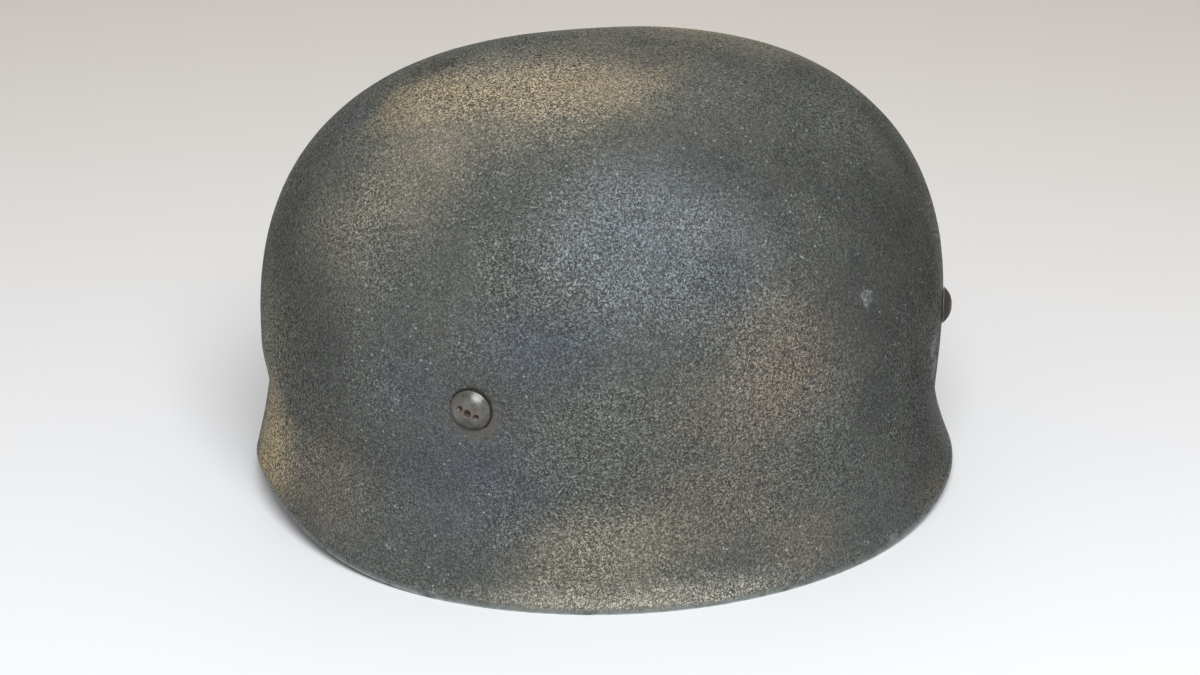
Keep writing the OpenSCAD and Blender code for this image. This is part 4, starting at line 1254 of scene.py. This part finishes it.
def make_liner():
    """Leather dome, drawn under the foam and folded up outside the band, with vents in its crown."""
    def shape(v, depth, z):
        shown = ease(HEAD_FACE - 1.5, HEAD_FACE, depth)
        at = wall(v, z, depth)
        pucker = math.cos(math.radians(v * RIVET_COUNT))
        low = 1 - ease(58, 92, z)
        folds = grain((at.x, at.y, at.z * 0.25), 9) * 0.45 + grain((at.x, at.y, at.z * 0.3), 22, 2) * 0.5
        depth -= shown * low * (0.45 * (1 + pucker) * 0.5 + 0.4 + 0.7 * folds)
        depth -= shown * (1 - low) * (0.25 + 0.5 * grain(at, 26, 1) * ease(60, 110, z) + 0.12 * grain(at, 8))
        if depth < FOLD_FACE + 1.6 and z > 50.5:
            depth += 0.22 * (1 - pucker) * ease(51, 53, z) + 0.12 * grain(at, 6)
        if z < 51.5 and depth > FOLD_FACE + 1:
            z += 0.25 * (1 - pucker) + 0.15 * grain(at, 7)
        return depth, z

    def edge(depth, z):
        turned = 1 - ease(0, 3.5, abs(z - LEATHER_Z) + 0.2 * abs(depth - HEAD_FACE))
        cut = ease(FOLD_TOP - 1.6, FOLD_TOP - 0.6, z) if depth < BAND_DEPTH else 0
        seam = 0.5 * (1 - ease(1.5, 3, abs(z - 82))) if depth > 20 else 0
        return max(0.55 * turned, cut, seam)

    obj = cup("leather_liner_piece", liner_path(), 256, LINER_LEATHER, shape, edge)
    drilled(obj, vent_places(), VENT_HOLE, 14, LINER_LEATHER, 20)
    settle(obj, "helmet", "liner_leather", "leather_liner")


def vent_places():
    """Vents in the crown of the leather: one in the middle and three rings round it."""
    top = SHELL["Height"] - HEAD_FACE
    widest = SHELL["Widest height"]
    places = [(Vector((CENTRE_X, 0, top)), Vector((0, 0, 1)))]
    for ring, count in enumerate(VENT_RINGS, 1):
        for i in range(count):
            v = math.radians(360 * i / count + 15 * ring)
            x = ring * VENT_PITCH * math.cos(v) * 1.12
            y = ring * VENT_PITCH * math.sin(v)
            share = math.hypot(x / CROWN_X, y / CROWN_Y)
            z = widest + (top - widest) * (1 - share ** CROWN_POWER) ** (1 / CROWN_POWER)
            way = Vector((x / CROWN_X * share, y / CROWN_Y * share, 1)).normalized()
            places.append((Vector((CENTRE_X + x, y, z)), way))
    return places


def rivet_piece(head_d, head_h, length, finish):
    """A rivet along +Z with a domed head."""
    r = head_d / 2
    ball = (r * r + head_h * head_h) / (2 * head_h)
    dome = [(r * k / 7, head_h - ball + math.sqrt(ball * ball - (r * k / 7) ** 2)) for k in range(1, 7)]
    shank = [(r, 0.12), (r - 0.1, -0.05), (1.5, -0.06), (1.5, -length), (0, -length - 0.02)]
    points, faces = lathe(list(reversed([(0, head_h)] + dome + shank)), 24)
    return build("rivet_shape", points, faces, finish)


def make_rivets():
    piece = rivet_piece(6, 0.95, 4.1, RIVET_METAL)
    sets = {"liner_rivets": (rivet_places(), 0.3), "band_joint_rivets": (joint_places(), 0.5)}
    for node, (places, gap) in sets.items():
        obj = fastened(node + "_piece", piece, [(p + w * gap, w) for p, w in places], RIVET_METAL)
        settle(obj, "helmet", "rivet_metal", node)
    drop(piece)


def curved_bar(name, section, start, end, steps, finish):
    """Bar that follows the shell from one plan angle to the other, its ends drawn in and closed."""
    points = []
    middle = (min(p[0] for p in section) + max(p[0] for p in section)) / 2
    mid_z = (min(p[1] for p in section) + max(p[1] for p in section)) / 2
    length = abs(math.radians(end - start)) * BAR_REACH
    for k in range(steps + 1):
        share = 0.5 - 0.5 * math.cos(math.pi * k / steps)
        near = min(share, 1 - share) * length
        inset = BAR_END - math.sqrt(max(0, BAR_END ** 2 - max(0, BAR_END - near) ** 2))
        for depth, z in section:
            d = depth + max(-inset, min(inset, middle - depth))
            h = z + max(-inset, min(inset, mid_z - z))
            points.append(wall(start + (end - start) * share, h, d))
    faces = ring_faces(steps + 1, len(section)) + end_caps(steps + 1, len(section))
    return build(name, points, faces, finish)


def make_pads():
    """Moulded rubber pads between the band and the shell."""
    section = rounded_bar(BAND_DEPTH - 0.35, 1.6, BAND_Z + 8, BAND_Z + BAND_H - 4, 1.4, wall_steps=6)
    spans = {"front": (-22, 22), "rear": (170, 190), "left": (78, 102), "right": (-102, -78)}
    for name, (start, end) in spans.items():
        obj = curved_bar(name + "_pad_piece", section, start, end, 48, RUBBER)
        settle(obj, "helmet", "black_rubber", name + "_pad")


# Places along the left fold line

def fold_geometry():
    depth = HEAD_FACE + ROOT_INSET
    front = wall(ROOT_ANGLES["front"], SHELL["Widest height"], depth)
    rear = wall(ROOT_ANGLES["rear"], SHELL["Widest height"], depth)
    span = (front - rear).length
    way = (front - rear) / span
    middle = rear + (front - rear) * JUNCTION_SHARE
    return front, rear, span, way, Vector((middle.x, middle.y, FOLD_Z))


FRONT_ROOT, REAR_ROOT, FOLD_SPAN, FOLD_WAY, FOLD_MID = fold_geometry()
FOLD_OUT = Vector((-FOLD_WAY.y, FOLD_WAY.x, 0))
SIGNS = {"front": 1, "rear": -1}
ARMS = {"front": FOLD_SPAN * (1 - JUNCTION_SHARE), "rear": FOLD_SPAN * JUNCTION_SHARE}
# A strap that leans along the fold line is cut by it over a longer width
STRETCH = {root: math.hypot(arm, FORK_H) / FORK_H for root, arm in ARMS.items()}


def side_name(mirrored):
    return "right" if mirrored else "left"


def on_fold(x, across, z):
    return FOLD_MID + FOLD_WAY * x + FOLD_OUT * across + Vector((0, 0, z))


def strap_section(half_w, half_t, radius=0.7):
    """Section of a strap as (across its width, through it), with creased lines beside its edges."""
    crease = [(half_w - 2.6, half_t), (half_w - STITCH_INSET, half_t - 0.22), (half_w - 1.6, half_t)]
    right = crease + arc((half_w - radius, half_t - radius), radius, 90, 0, 3)
    lower = [(a, -b) for a, b in reversed(right)]
    one_side = [(0, half_t)] + right + lower + [(0, -half_t)]
    other_side = [(-a, b) for a, b in reversed(one_side[1:-1])]
    return one_side + other_side


def ribbon(name, rings, sections, mirrored, wobble, seed=0):
    """A strap through rings of (centre, side vector, face vector), with a section for each. The vectors
    are one mm long where the section is taken as it is."""
    points = []
    values = []
    for (centre, side, face), section in zip(rings, sections):
        half_w = max(a for a, b in section)
        values += [ease(half_w - 2.2, half_w - 0.1, abs(a)) for a, b in section]
        for a, b in section:
            p = centre + side * a + face * b
            points.append(p + face * wobble * grain(p, 9, seed))
    count = len(sections[0])
    faces = ring_faces(len(rings), count) + end_caps(len(rings), count)
    return build(name, points, faces, STRAP_LEATHER, mirrored, edge=values)


def plain_ribbon(name, rings, mirrored, wobble):
    return ribbon(name, rings, [strap_section(STRAP_W / 2, STRAP_T / 2)] * len(rings), mirrored, wobble)


def smooth_path(points, steps):
    """Catmull-Rom curve through vectors of any length."""
    out = []
    for i in range(len(points) - 1):
        a = points[max(i - 1, 0)]
        b = points[i]
        c = points[i + 1]
        d = points[min(i + 2, len(points) - 1)]
        for k in range(steps):
            t = k / steps
            out.append(0.5 * (2 * b + (c - a) * t + (2 * a - 5 * b + 4 * c - d) * t * t
                              + (3 * b - a - 3 * c + d) * t ** 3))
    return out + [points[-1]]


def side_lines(rings):
    """Stitch lines beside both edges of a strap, on both its faces."""
    across = STRAP_W / 2 - STITCH_INSET
    above = STRAP_T / 2 + 0.1
    return [[centre + side * edge * across + face * sign * above for centre, side, face in rings]
            for edge in (-1, 1) for sign in (-1, 1)]


def strap_steps(root):
    """Centre and outward face of a left strap end, from above its bolt to the fold line."""
    place = bolt_frame(BOLT_ANGLES[root + "_left"])
    out = place.to_3x3() @ Vector((0, 0, 1))
    root_v = ROOT_ANGLES[root]
    top = place.translation - out * STRAP_DEPTH
    low = wall(root_v, LEATHER_Z, STRAP_DEPTH)
    fall = low - top
    way = (fall - out * fall.dot(out)).normalized()
    turn = wall(root_v, LEATHER_Z - 2.4, STRAP_DEPTH + 2.5)
    mark = FRONT_ROOT if root == "front" else REAR_ROOT
    end = Vector((mark.x, mark.y, FOLD_Z)) + FOLD_OUT * FOLD_REACH
    down = Vector((0, 0, -1))
    face = outward(root_v)
    bend = (low + turn) / 2 + face * 0.6
    centres = [top - way * 9, top, top + way * 9, low, bend, turn, (turn + end) / 2, end]
    faces = [out, out, out, face, (face + down).normalized(), down, down, down]
    return centres, faces


def make_strap_end(root, mirrored):
    """Strap end that hangs on a bolt behind the band and comes out under the liner's edge."""
    centres, faces = strap_steps(root)
    centres[-1] = centres[-1] + FOLD_WAY * SIGNS[root] * FOLD_REACH * ARMS[root] / FORK_H
    centres[-2] = (centres[-3] + centres[-1]) / 2
    path = smooth_path(centres, 6)
    looks = smooth_path(faces, 6)
    rings = []
    last = len(path) - 1
    for i, centre in enumerate(path):
        way = (path[min(i + 1, last)] - path[max(i - 1, 0)]).normalized()
        face = (looks[i] - way * looks[i].dot(way)).normalized()
        side = face.cross(way).normalized()
        share = ease(0.72, 1.0, i / last)
        rings.append((centre, side.lerp(-FOLD_WAY * STRETCH[root], share), face))
    corner = root + "_" + side_name(mirrored)
    obj = plain_ribbon(corner + "_strap_end_piece", rings, mirrored, 0.05)
    place = bolt_frame(BOLT_ANGLES[corner])
    axis = place.to_3x3() @ Vector((0, 0, 1))
    drilled(obj, [(place.translation - axis * STRAP_DEPTH, axis)], 8.9, 6, STRAP_LEATHER, 32)
    settle(obj, "helmet", "strap_leather", corner + "_strap_end")
    thread = sewn(corner + "_strap_end_stitches", side_lines(rings[9:-1]), mirrored)
    settle(thread, "helmet", "strap_leather")


def make_strap_fold(root, mirrored):
    """Bend of a strap at the fold line, between the strap end and the forked strap."""
    arm = ARMS[root]
    side_sign = SIGNS[root]
    straight = [(FOLD_REACH - FOLD_BEND) * k / 4 for k in range(5)]
    spots = [(FOLD_REACH - run, 0.0, 0.0) for run in straight]
    spots += [(FOLD_BEND - FOLD_BEND * math.sin(a), FOLD_BEND - FOLD_BEND * math.cos(a), a)
              for a in (0.26, 0.52, 0.79, 1.05, 1.31)]
    spots += [(0.0, FOLD_BEND + run, math.pi / 2) for run in straight]
    rings = []
    for across, z, turn in spots:
        x = side_sign * (arm + (across - z) * arm / FORK_H)
        face = FOLD_OUT * -math.sin(turn) + Vector((0, 0, -math.cos(turn)))
        rings.append((on_fold(x, across, z), -FOLD_WAY * STRETCH[root], face))
    side = side_name(mirrored)
    name = side + "_" + root + "_strap_fold"
    bare = plain_ribbon(name + "_leather", rings, mirrored, 0.0)
    obj = join(name, [bare, sewn(name + "_stitches", side_lines(rings), mirrored)])
    start = on_fold(side_sign * arm, 4, 0)
    end = on_fold(side_sign * arm, 0, 4)
    flip = Vector((1, -1 if mirrored else 1, 1)) * MM
    tuple(start * flip)
    tuple(end * flip)
    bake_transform(obj)


def slab(name, outline, low, high, mirrored, bevel=0.55, wobble=0.12, seed=0):
    """A flat piece of leather in the plane of the forks. outline is a list of (x, z), and low and high
    are its faces across that plane."""
    bm = bmesh.new()
    face = bm.faces.new([bm.verts.new((x, low, z)) for x, z in outline])
    solid = bmesh.ops.extrude_face_region(bm, geom=[face])
    top = [v for v in solid["geom"] if isinstance(v, bmesh.types.BMVert)]
    bmesh.ops.translate(bm, verts=top, vec=(0, high - low, 0))
    bmesh.ops.recalc_face_normals(bm, faces=bm.faces)
    rim = [e for e in bm.edges if abs(e.verts[0].co.y - e.verts[1].co.y) < 1e-6]
    bmesh.ops.bevel(bm, geom=rim, offset=bevel, segments=3, profile=0.5, affect="EDGES")
    # Cuts across both ways give the flat faces points that can move
    for axis, normal in ((0, Vector((1, 0, 0))), (1, Vector((0, 0, 1)))):
        values = [p[axis] for p in outline]
        at = min(values) + SLAB_CELL
        while at < max(values) - 0.3:
            geometry = list(bm.verts) + list(bm.edges) + list(bm.faces)
            bmesh.ops.bisect_plane(bm, geom=geometry, plane_co=normal * at, plane_no=normal)
            at += SLAB_CELL
    bmesh.ops.remove_doubles(bm, verts=bm.verts, dist=0.01)
    mesh = bpy.data.meshes.new(name)
    bm.to_mesh(mesh)
    bm.free()
    layer = mesh.attributes.new("edge", "FLOAT", "POINT")
    corners = [Vector(p) for p in outline]
    sides = list(zip(corners, corners[1:] + corners[:1]))
    for vertex, item in zip(mesh.vertices, layer.data):
        x, across, z = vertex.co
        spot = Vector((x, z))
        near = 99.0
        for a, b in sides:
            t = max(0, min(1, (spot - a).dot(b - a) / (b - a).length_squared))
            near = min(near, (spot - a.lerp(b, t)).length)
        item.value = 1 - ease(0.2, 2.2, near)
        moved = across + wobble * grain((x, seed * 9, z), 10, seed)
        p = on_fold(x, moved, z) * MM
        vertex.co = (p.x, -p.y if mirrored else p.y, p.z)
    if mirrored:
        mesh.flip_normals()
    mesh.materials.append(STRAP_LEATHER)
    mesh.shade_smooth()
    return new_object(name, mesh)


def leg_lines(root):
    """Stitch lines along both long edges of a forked strap."""
    arm = ARMS[root]
    run = Vector((-arm, FORK_H)).normalized()
    square = Vector((FORK_H, arm)).normalized()
    lines = []
    for edge in (-1, 1):
        offset = square * edge * (STRAP_W / 2 - STITCH_INSET)
        line = [Vector((arm, 0)) + run * (math.hypot(arm, FORK_H) * k / 40) + offset for k in range(41)]
        kept = [p for p in line if LEG_START < p.y < FORK_H - 2.5 and p.x > 2.5]
        lines.append([(SIGNS[root] * p.x, p.y) for p in kept])
    return lines


def make_leg(root, mirrored):
    """Forked strap, cut at the fold line and at the seam between the two straps."""
    arm = ARMS[root]
    sign = SIGNS[root]
    foot = STRAP_W / 2 * STRETCH[root]
    lean = arm / FORK_H
    at_start = arm - LEG_START * lean
    seam = 0.15
    outline = [(at_start - foot, LEG_START), (at_start + foot, LEG_START), (foot, FORK_H), (seam, FORK_H),
               (seam, FORK_H - (foot - seam) / lean)]
    outline = [(sign * x, z) for x, z in outline]
    body = side_name(mirrored) + "_fork"
    name = side_name(mirrored) + "_" + root + "_strap"
    obj = slab(name + "_piece", outline, -STRAP_T / 2, STRAP_T / 2, mirrored, seed=sign + 2)
    settle(obj, body, "strap_leather", name)
    above = STRAP_T / 2 + 0.12
    lines = [[on_fold(x, across, z) for x, z in line]
             for line in leg_lines(root) for across in (above, -above)]
    settle(sewn(name + "_stitches", lines, mirrored), body, "strap_leather")


def wrapped(bar, radius, start, end, steps):
    """Centre line of a leather sleeve round a bar at (across, height), as (place, way away from the bar)."""
    spots = []
    for k in range(steps + 1):
        a = math.radians(start + (end - start) * k / steps)
        place = on_fold(0, bar[0] + radius * math.cos(a), bar[1] + radius * math.sin(a))
        spots.append((place, FOLD_OUT * math.cos(a) + Vector((0, 0, math.sin(a)))))
    return spots


def make_patch(mirrored):
    """Leather patch sewn over both straps, whose tab wraps round the loop's lower bar."""
    side = side_name(mirrored)
    half = PATCH_W / 2
    strap = STRAP_W / 2
    low = -PATCH_IN - PATCH_T
    high = -PATCH_IN
    outline = arc((-half + 3, 46), 3, 180, 270, 4) + arc((half - 3, 46), 3, 270, 360, 4)
    outline += [(half, 55), (strap, 59), (-strap, 59), (-half, 55)]
    plate = slab("patch_plate", outline, low, high, mirrored, bevel=0.45, wobble=0.05, seed=7)
    half_t = TAB_T / 2
    rings = [(place, FOLD_WAY, face) for place, face in wrapped(LOWER_BAR, SLEEVE_R - half_t, 0, 300, 24)]
    tab = ribbon("patch_tab", rings, [strap_section(strap, half_t, 0.5)] * len(rings), mirrored, 0.03)
    neck = slab("patch_neck", [(-strap, 57), (strap, 57), (strap, 64), (-strap, 64)], low, high, mirrored,
                bevel=0.45, wobble=0.0)
    obj = join(side + "_junction_patch_piece", [plate, neck, tab])
    settle(obj, side + "_fork", "strap_leather", side + "_junction_patch")
    edge = half - 1.6
    bottom = 44.9
    corners = [(-edge, 54), (-edge, 47), (-half + 3.5, bottom), (half - 3.5, bottom), (edge, 47), (edge, 54)]
    line = [on_fold(x, low - 0.1, z) for x, z in corners]
    row = [on_fold(x, low - 0.1, 60.8) for x in (-6, 6)]
    thread = sewn(side + "_patch_stitches", [line, row], mirrored, 2.6, 1.9, 0.7)
    settle(thread, side + "_fork", "strap_leather")


CHIN_CENTRE = UPPER_BAR[0] - SLEEVE_R + CHIN_T / 2


def chin_rings(low_z, sleeved):
    """Rings of a chin strap from its lower end up and round the loop's upper bar, each with half its
    thickness. sleeved adds a sleeve round the buckle's bar."""
    half_t = SLEEVE_T / 2
    radius = SLEEVE_R - half_t
    rings = []
    start = low_z
    if sleeved:
        sleeve = wrapped((UPPER_BAR[0], low_z), radius, 330, 180, 16)
        rings += [(place, -FOLD_WAY, -face, half_t) for place, face in sleeve]
        start = low_z + 2
    top = UPPER_BAR[1] - 2
    steps = 36
    for k in range(steps + 1):
        z = start + (top - start) * k / steps
        rings.append((on_fold(0, CHIN_CENTRE, z), -FOLD_WAY, FOLD_OUT, CHIN_T / 2))
    sleeve = wrapped(UPPER_BAR, radius, 180, 30, 16)
    return rings + [(place, -FOLD_WAY, -face, half_t) for place, face in sleeve]


def chin_strap(name, rings, mirrored, taper=None):
    """A chin strap half. taper gives half its width at a height."""
    sections = []
    for ring in rings:
        width = STRAP_W / 2 if taper is None else taper(ring[0].z)
        sections.append(strap_section(width, ring[3], min(0.6, ring[3] * 0.8)))
    return ribbon(name, [ring[:3] for ring in rings], sections, mirrored, 0.07, 5)


def chin_stitches(side, start, mirrored):
    across = STRAP_W / 2 - STITCH_INSET
    above = CHIN_T / 2 + 0.1
    lines = [[on_fold(x, CHIN_CENTRE + b, z) for z in (start, UPPER_BAR[1] - 6)]
             for x in (-across, across) for b in (-above, above)]
    settle(sewn(side + "_chin_stitches", lines, mirrored), side + "_chin", "strap_leather")


def make_left_chin():
    """Plain half of the chin strap, with a rounded end and a row of punched holes."""
    low = UPPER_BAR[1] - CHIN_LENGTH
    end_r = STRAP_W / 2

    def taper(z):
        below = max(0, low + end_r + FOLD_Z - z)
        return max(2.4, math.sqrt(max(0, end_r * end_r - below * below)))

    obj = chin_strap("left_chin_strap_piece", chin_rings(low + 0.3, False), False, taper)
    holes = [(on_fold(0, CHIN_CENTRE, low + 12 + 9 * i), FOLD_OUT) for i in range(5)]
    drilled(obj, holes, 2.6, 6, STRAP_LEATHER, 20)
    settle(obj, "left_chin", "strap_leather", "left_chin_strap")
    chin_stitches("left", low + 10, False)


def make_right_chin():
    """Buckle half of the chin strap: a sleeve at each end, the lower one slotted for the prong."""
    low = UPPER_BAR[1] - BUCKLE_LENGTH
    obj = chin_strap("right_chin_strap_piece", chin_rings(low, True), True)
    slot_place = on_fold(0, UPPER_BAR[0], low)
    slot_place.y = -slot_place.y
    drilled(obj, [(slot_place, Vector((0, 0, 1)))], 4.2, 13, STRAP_LEATHER, 20)
    settle(obj, "right_chin", "strap_leather", "right_chin_strap")
    chin_stitches("right", low + 7, True)


def make_keeper():
    obj = rounded_copy("strap_keeper", 0.45, STRAP_LEATHER, wobble=0.06)
    settle(obj, "keeper", "strap_leather", "strap_keeper")


# Small hardware keeps its exact shape, with its edges rounded

# Body, slot, finish, width of the rounding in mm, and the nodes
HARDWARE = [
    ("helmet", "zinced_steel", ZINC, 0.25,
     ("front_left_nut", "front_right_nut", "rear_left_nut", "rear_right_nut")),
    ("helmet", "zinced_steel", ZINC, 0.2, ("bolt_washers",)),
    ("helmet", "black_rubber", RUBBER, 0.5, ("spacer_bushes",)),
    ("helmet", "aluminium", ALUMINIUM, 0.3, ("band_joint_plate",)),
    ("left_adjuster", "buckle_steel", BUCKLE_STEEL, 0.5, ("left_adjuster",)),
    ("right_adjuster", "buckle_steel", BUCKLE_STEEL, 0.5, ("right_adjuster",)),
    ("prong", "buckle_steel", BUCKLE_STEEL, 0.25, ("buckle_prong",)),
    ("buckle", "buckle_steel", BUCKLE_STEEL, 0.1, ("buckle_frame",)),
    ("left_fork", "buckle_steel", BUCKLE_STEEL, 0.1, ("left_junction_loop",)),
    ("right_fork", "buckle_steel", BUCKLE_STEEL, 0.1, ("right_junction_loop",)),
    ("left_fork", "brass", BRASS, 0.15, ("left_junction_rivets",)),
    ("right_fork", "brass", BRASS, 0.15, ("right_junction_rivets",)),
    ("helmet", "brass", BRASS, 0.12, ("strap_eyelets",)),
    ("left_chin", "nickel", NICKEL, 0.2, ("left_chin_stud",)),
]


def make_hardware():
    for body, slot, finish, width, nodes in HARDWARE:
        for node in nodes:
            settle(rounded_copy(node, width, finish), body, slot, node)


# Floor, light and camera

FLOOR = 6

def make_floor():
    """A pale table, a little warmer in the distance."""
    mesh = bpy.data.meshes.new("floor")
    corners = [(-FLOOR, -FLOOR, 0), (FLOOR, -FLOOR, 0), (FLOOR, FLOOR, 0), (-FLOOR, FLOOR, 0)]
    mesh.from_pydata(corners, [], [(0, 1, 2, 3)])
    finish = bpy.data.materials.new("pale table")
    finish.use_nodes = True
    tree = finish.node_tree
    surface = tree.nodes["Principled BSDF"]
    place = add(tree, "ShaderNodeTexCoord").out("Object")
    far = ease(0.5, 1.4, distance(tree, place, (0.26, 0.65, 0)))
    put(surface.inputs["Base Color"], mix(tree, far, colour(0.87, 0.865, 0.87), colour(0.91, 0.84, 0.765)))
    surface.inputs["Roughness"].default_value = 0.7
    mesh.materials.append(finish)
    new_object("floor", mesh)


def area_light(name, azimuth, elevation, reach, size, power, tint):
    """A light at a distance in metres that looks at the middle of the helmet."""
    data = bpy.data.lights.new(name, "AREA")
    data.shape = "RECTANGLE"
    data.size = size[0]
    data.size_y = size[1]
    data.energy = power
    data.color = tint
    obj = new_object(name, data)
    obj.location = back_way(azimuth, elevation) * reach
    obj.rotation_euler = (Vector((0, 0, 0.08)) - obj.location).to_track_quat("-Z", "Y").to_euler()


def back_way(azimuth, elevation):
    """Direction from the helmet to a viewer, from angles in degrees."""
    a = math.radians(azimuth)
    e = math.radians(elevation)
    return Vector((math.cos(a) * math.cos(e), math.sin(a) * math.cos(e), math.sin(e)))


def make_light():
    """A broad window behind and above the camera, weak fills at the front and the rear, and a pale world."""
    area_light("window", 76, 50, 1.35, (0.8, 0.6), 17, (0.93, 0.97, 1.0))
    area_light("fill front", 20, 35, 1.6, (1.2, 1.2), 1.2, (1.0, 0.96, 0.92))
    area_light("fill rear", -120, 45, 1.6, (1.2, 1.2), 1.5, (1.0, 0.97, 0.92))
    world = bpy.data.worlds.new("studio")
    world.use_nodes = True
    bpy.context.scene.world = world
    tree = world.node_tree
    background = tree.nodes["Background"]
    path = add(tree, "ShaderNodeLightPath")
    seen = clamp(path.out("Is Camera Ray") + path.out("Is Glossy Ray") + path.out("Is Transmission Ray"))
    put(background.inputs["Color"], mix(tree, seen, colour(0.96, 0.97, 1.0), colour(0.83, 0.82, 0.81)))
    put(background.inputs["Strength"], 0.36 + seen * 0.54)


# The camera that the photograph was taken with, fitted to the helmet's outline
CAMERA_AZIMUTH = 68.656
CAMERA_ELEVATION = 22.806
CAMERA_ROLL = 1.424
CAMERA_DISTANCE = 754.6
CAMERA_SHIFT = (-0.752, 47.78)
CAMERA_AIM_X = 4.27
FOCAL_PIXELS = 2012.9
IMAGE_WIDTH = 1200
SENSOR_WIDTH = 36


def make_camera():
    azimuth = math.radians(CAMERA_AZIMUTH)
    roll = math.radians(CAMERA_ROLL)
    back = back_way(CAMERA_AZIMUTH, CAMERA_ELEVATION)
    right = Vector((-math.sin(azimuth), math.cos(azimuth), 0))
    up = back.cross(right)
    aim = right * CAMERA_SHIFT[0] + Vector((CAMERA_AIM_X, 0, CAMERA_SHIFT[1]))
    place = (aim + back * CAMERA_DISTANCE) * MM
    across = right * math.cos(roll) + up * math.sin(roll)
    upright = up * math.cos(roll) - right * math.sin(roll)
    data = bpy.data.cameras.new("camera")
    data.sensor_width = SENSOR_WIDTH
    data.lens = FOCAL_PIXELS * SENSOR_WIDTH / IMAGE_WIDTH
    data.clip_start = 0.01
    camera = new_object("camera", data)
    turn = Matrix((across, upright, back)).transposed().to_4x4()
    camera.matrix_world = Matrix.Translation(place) @ turn
    bpy.context.scene.camera = camera


def make_helmet():
    make_shell()
    for index, (name, degrees) in enumerate(BOLT_ANGLES.items()):
        make_bolt(name, degrees, PIT_TURNS[name], index)
    make_band()
    make_foam_headband()
    make_crown_pad()
    make_liner()
    make_rivets()
    make_pads()
    make_hardware()
    for mirrored in (False, True):
        for root in ("front", "rear"):
            make_strap_end(root, mirrored)
            make_strap_fold(root, mirrored)
            make_leg(root, mirrored)
        make_patch(mirrored)
    make_left_chin()
    make_right_chin()
    make_keeper()


make_camera()
make_helmet()
make_floor()
make_light()
bpy.context.scene.view_settings.view_transform = "Standard"
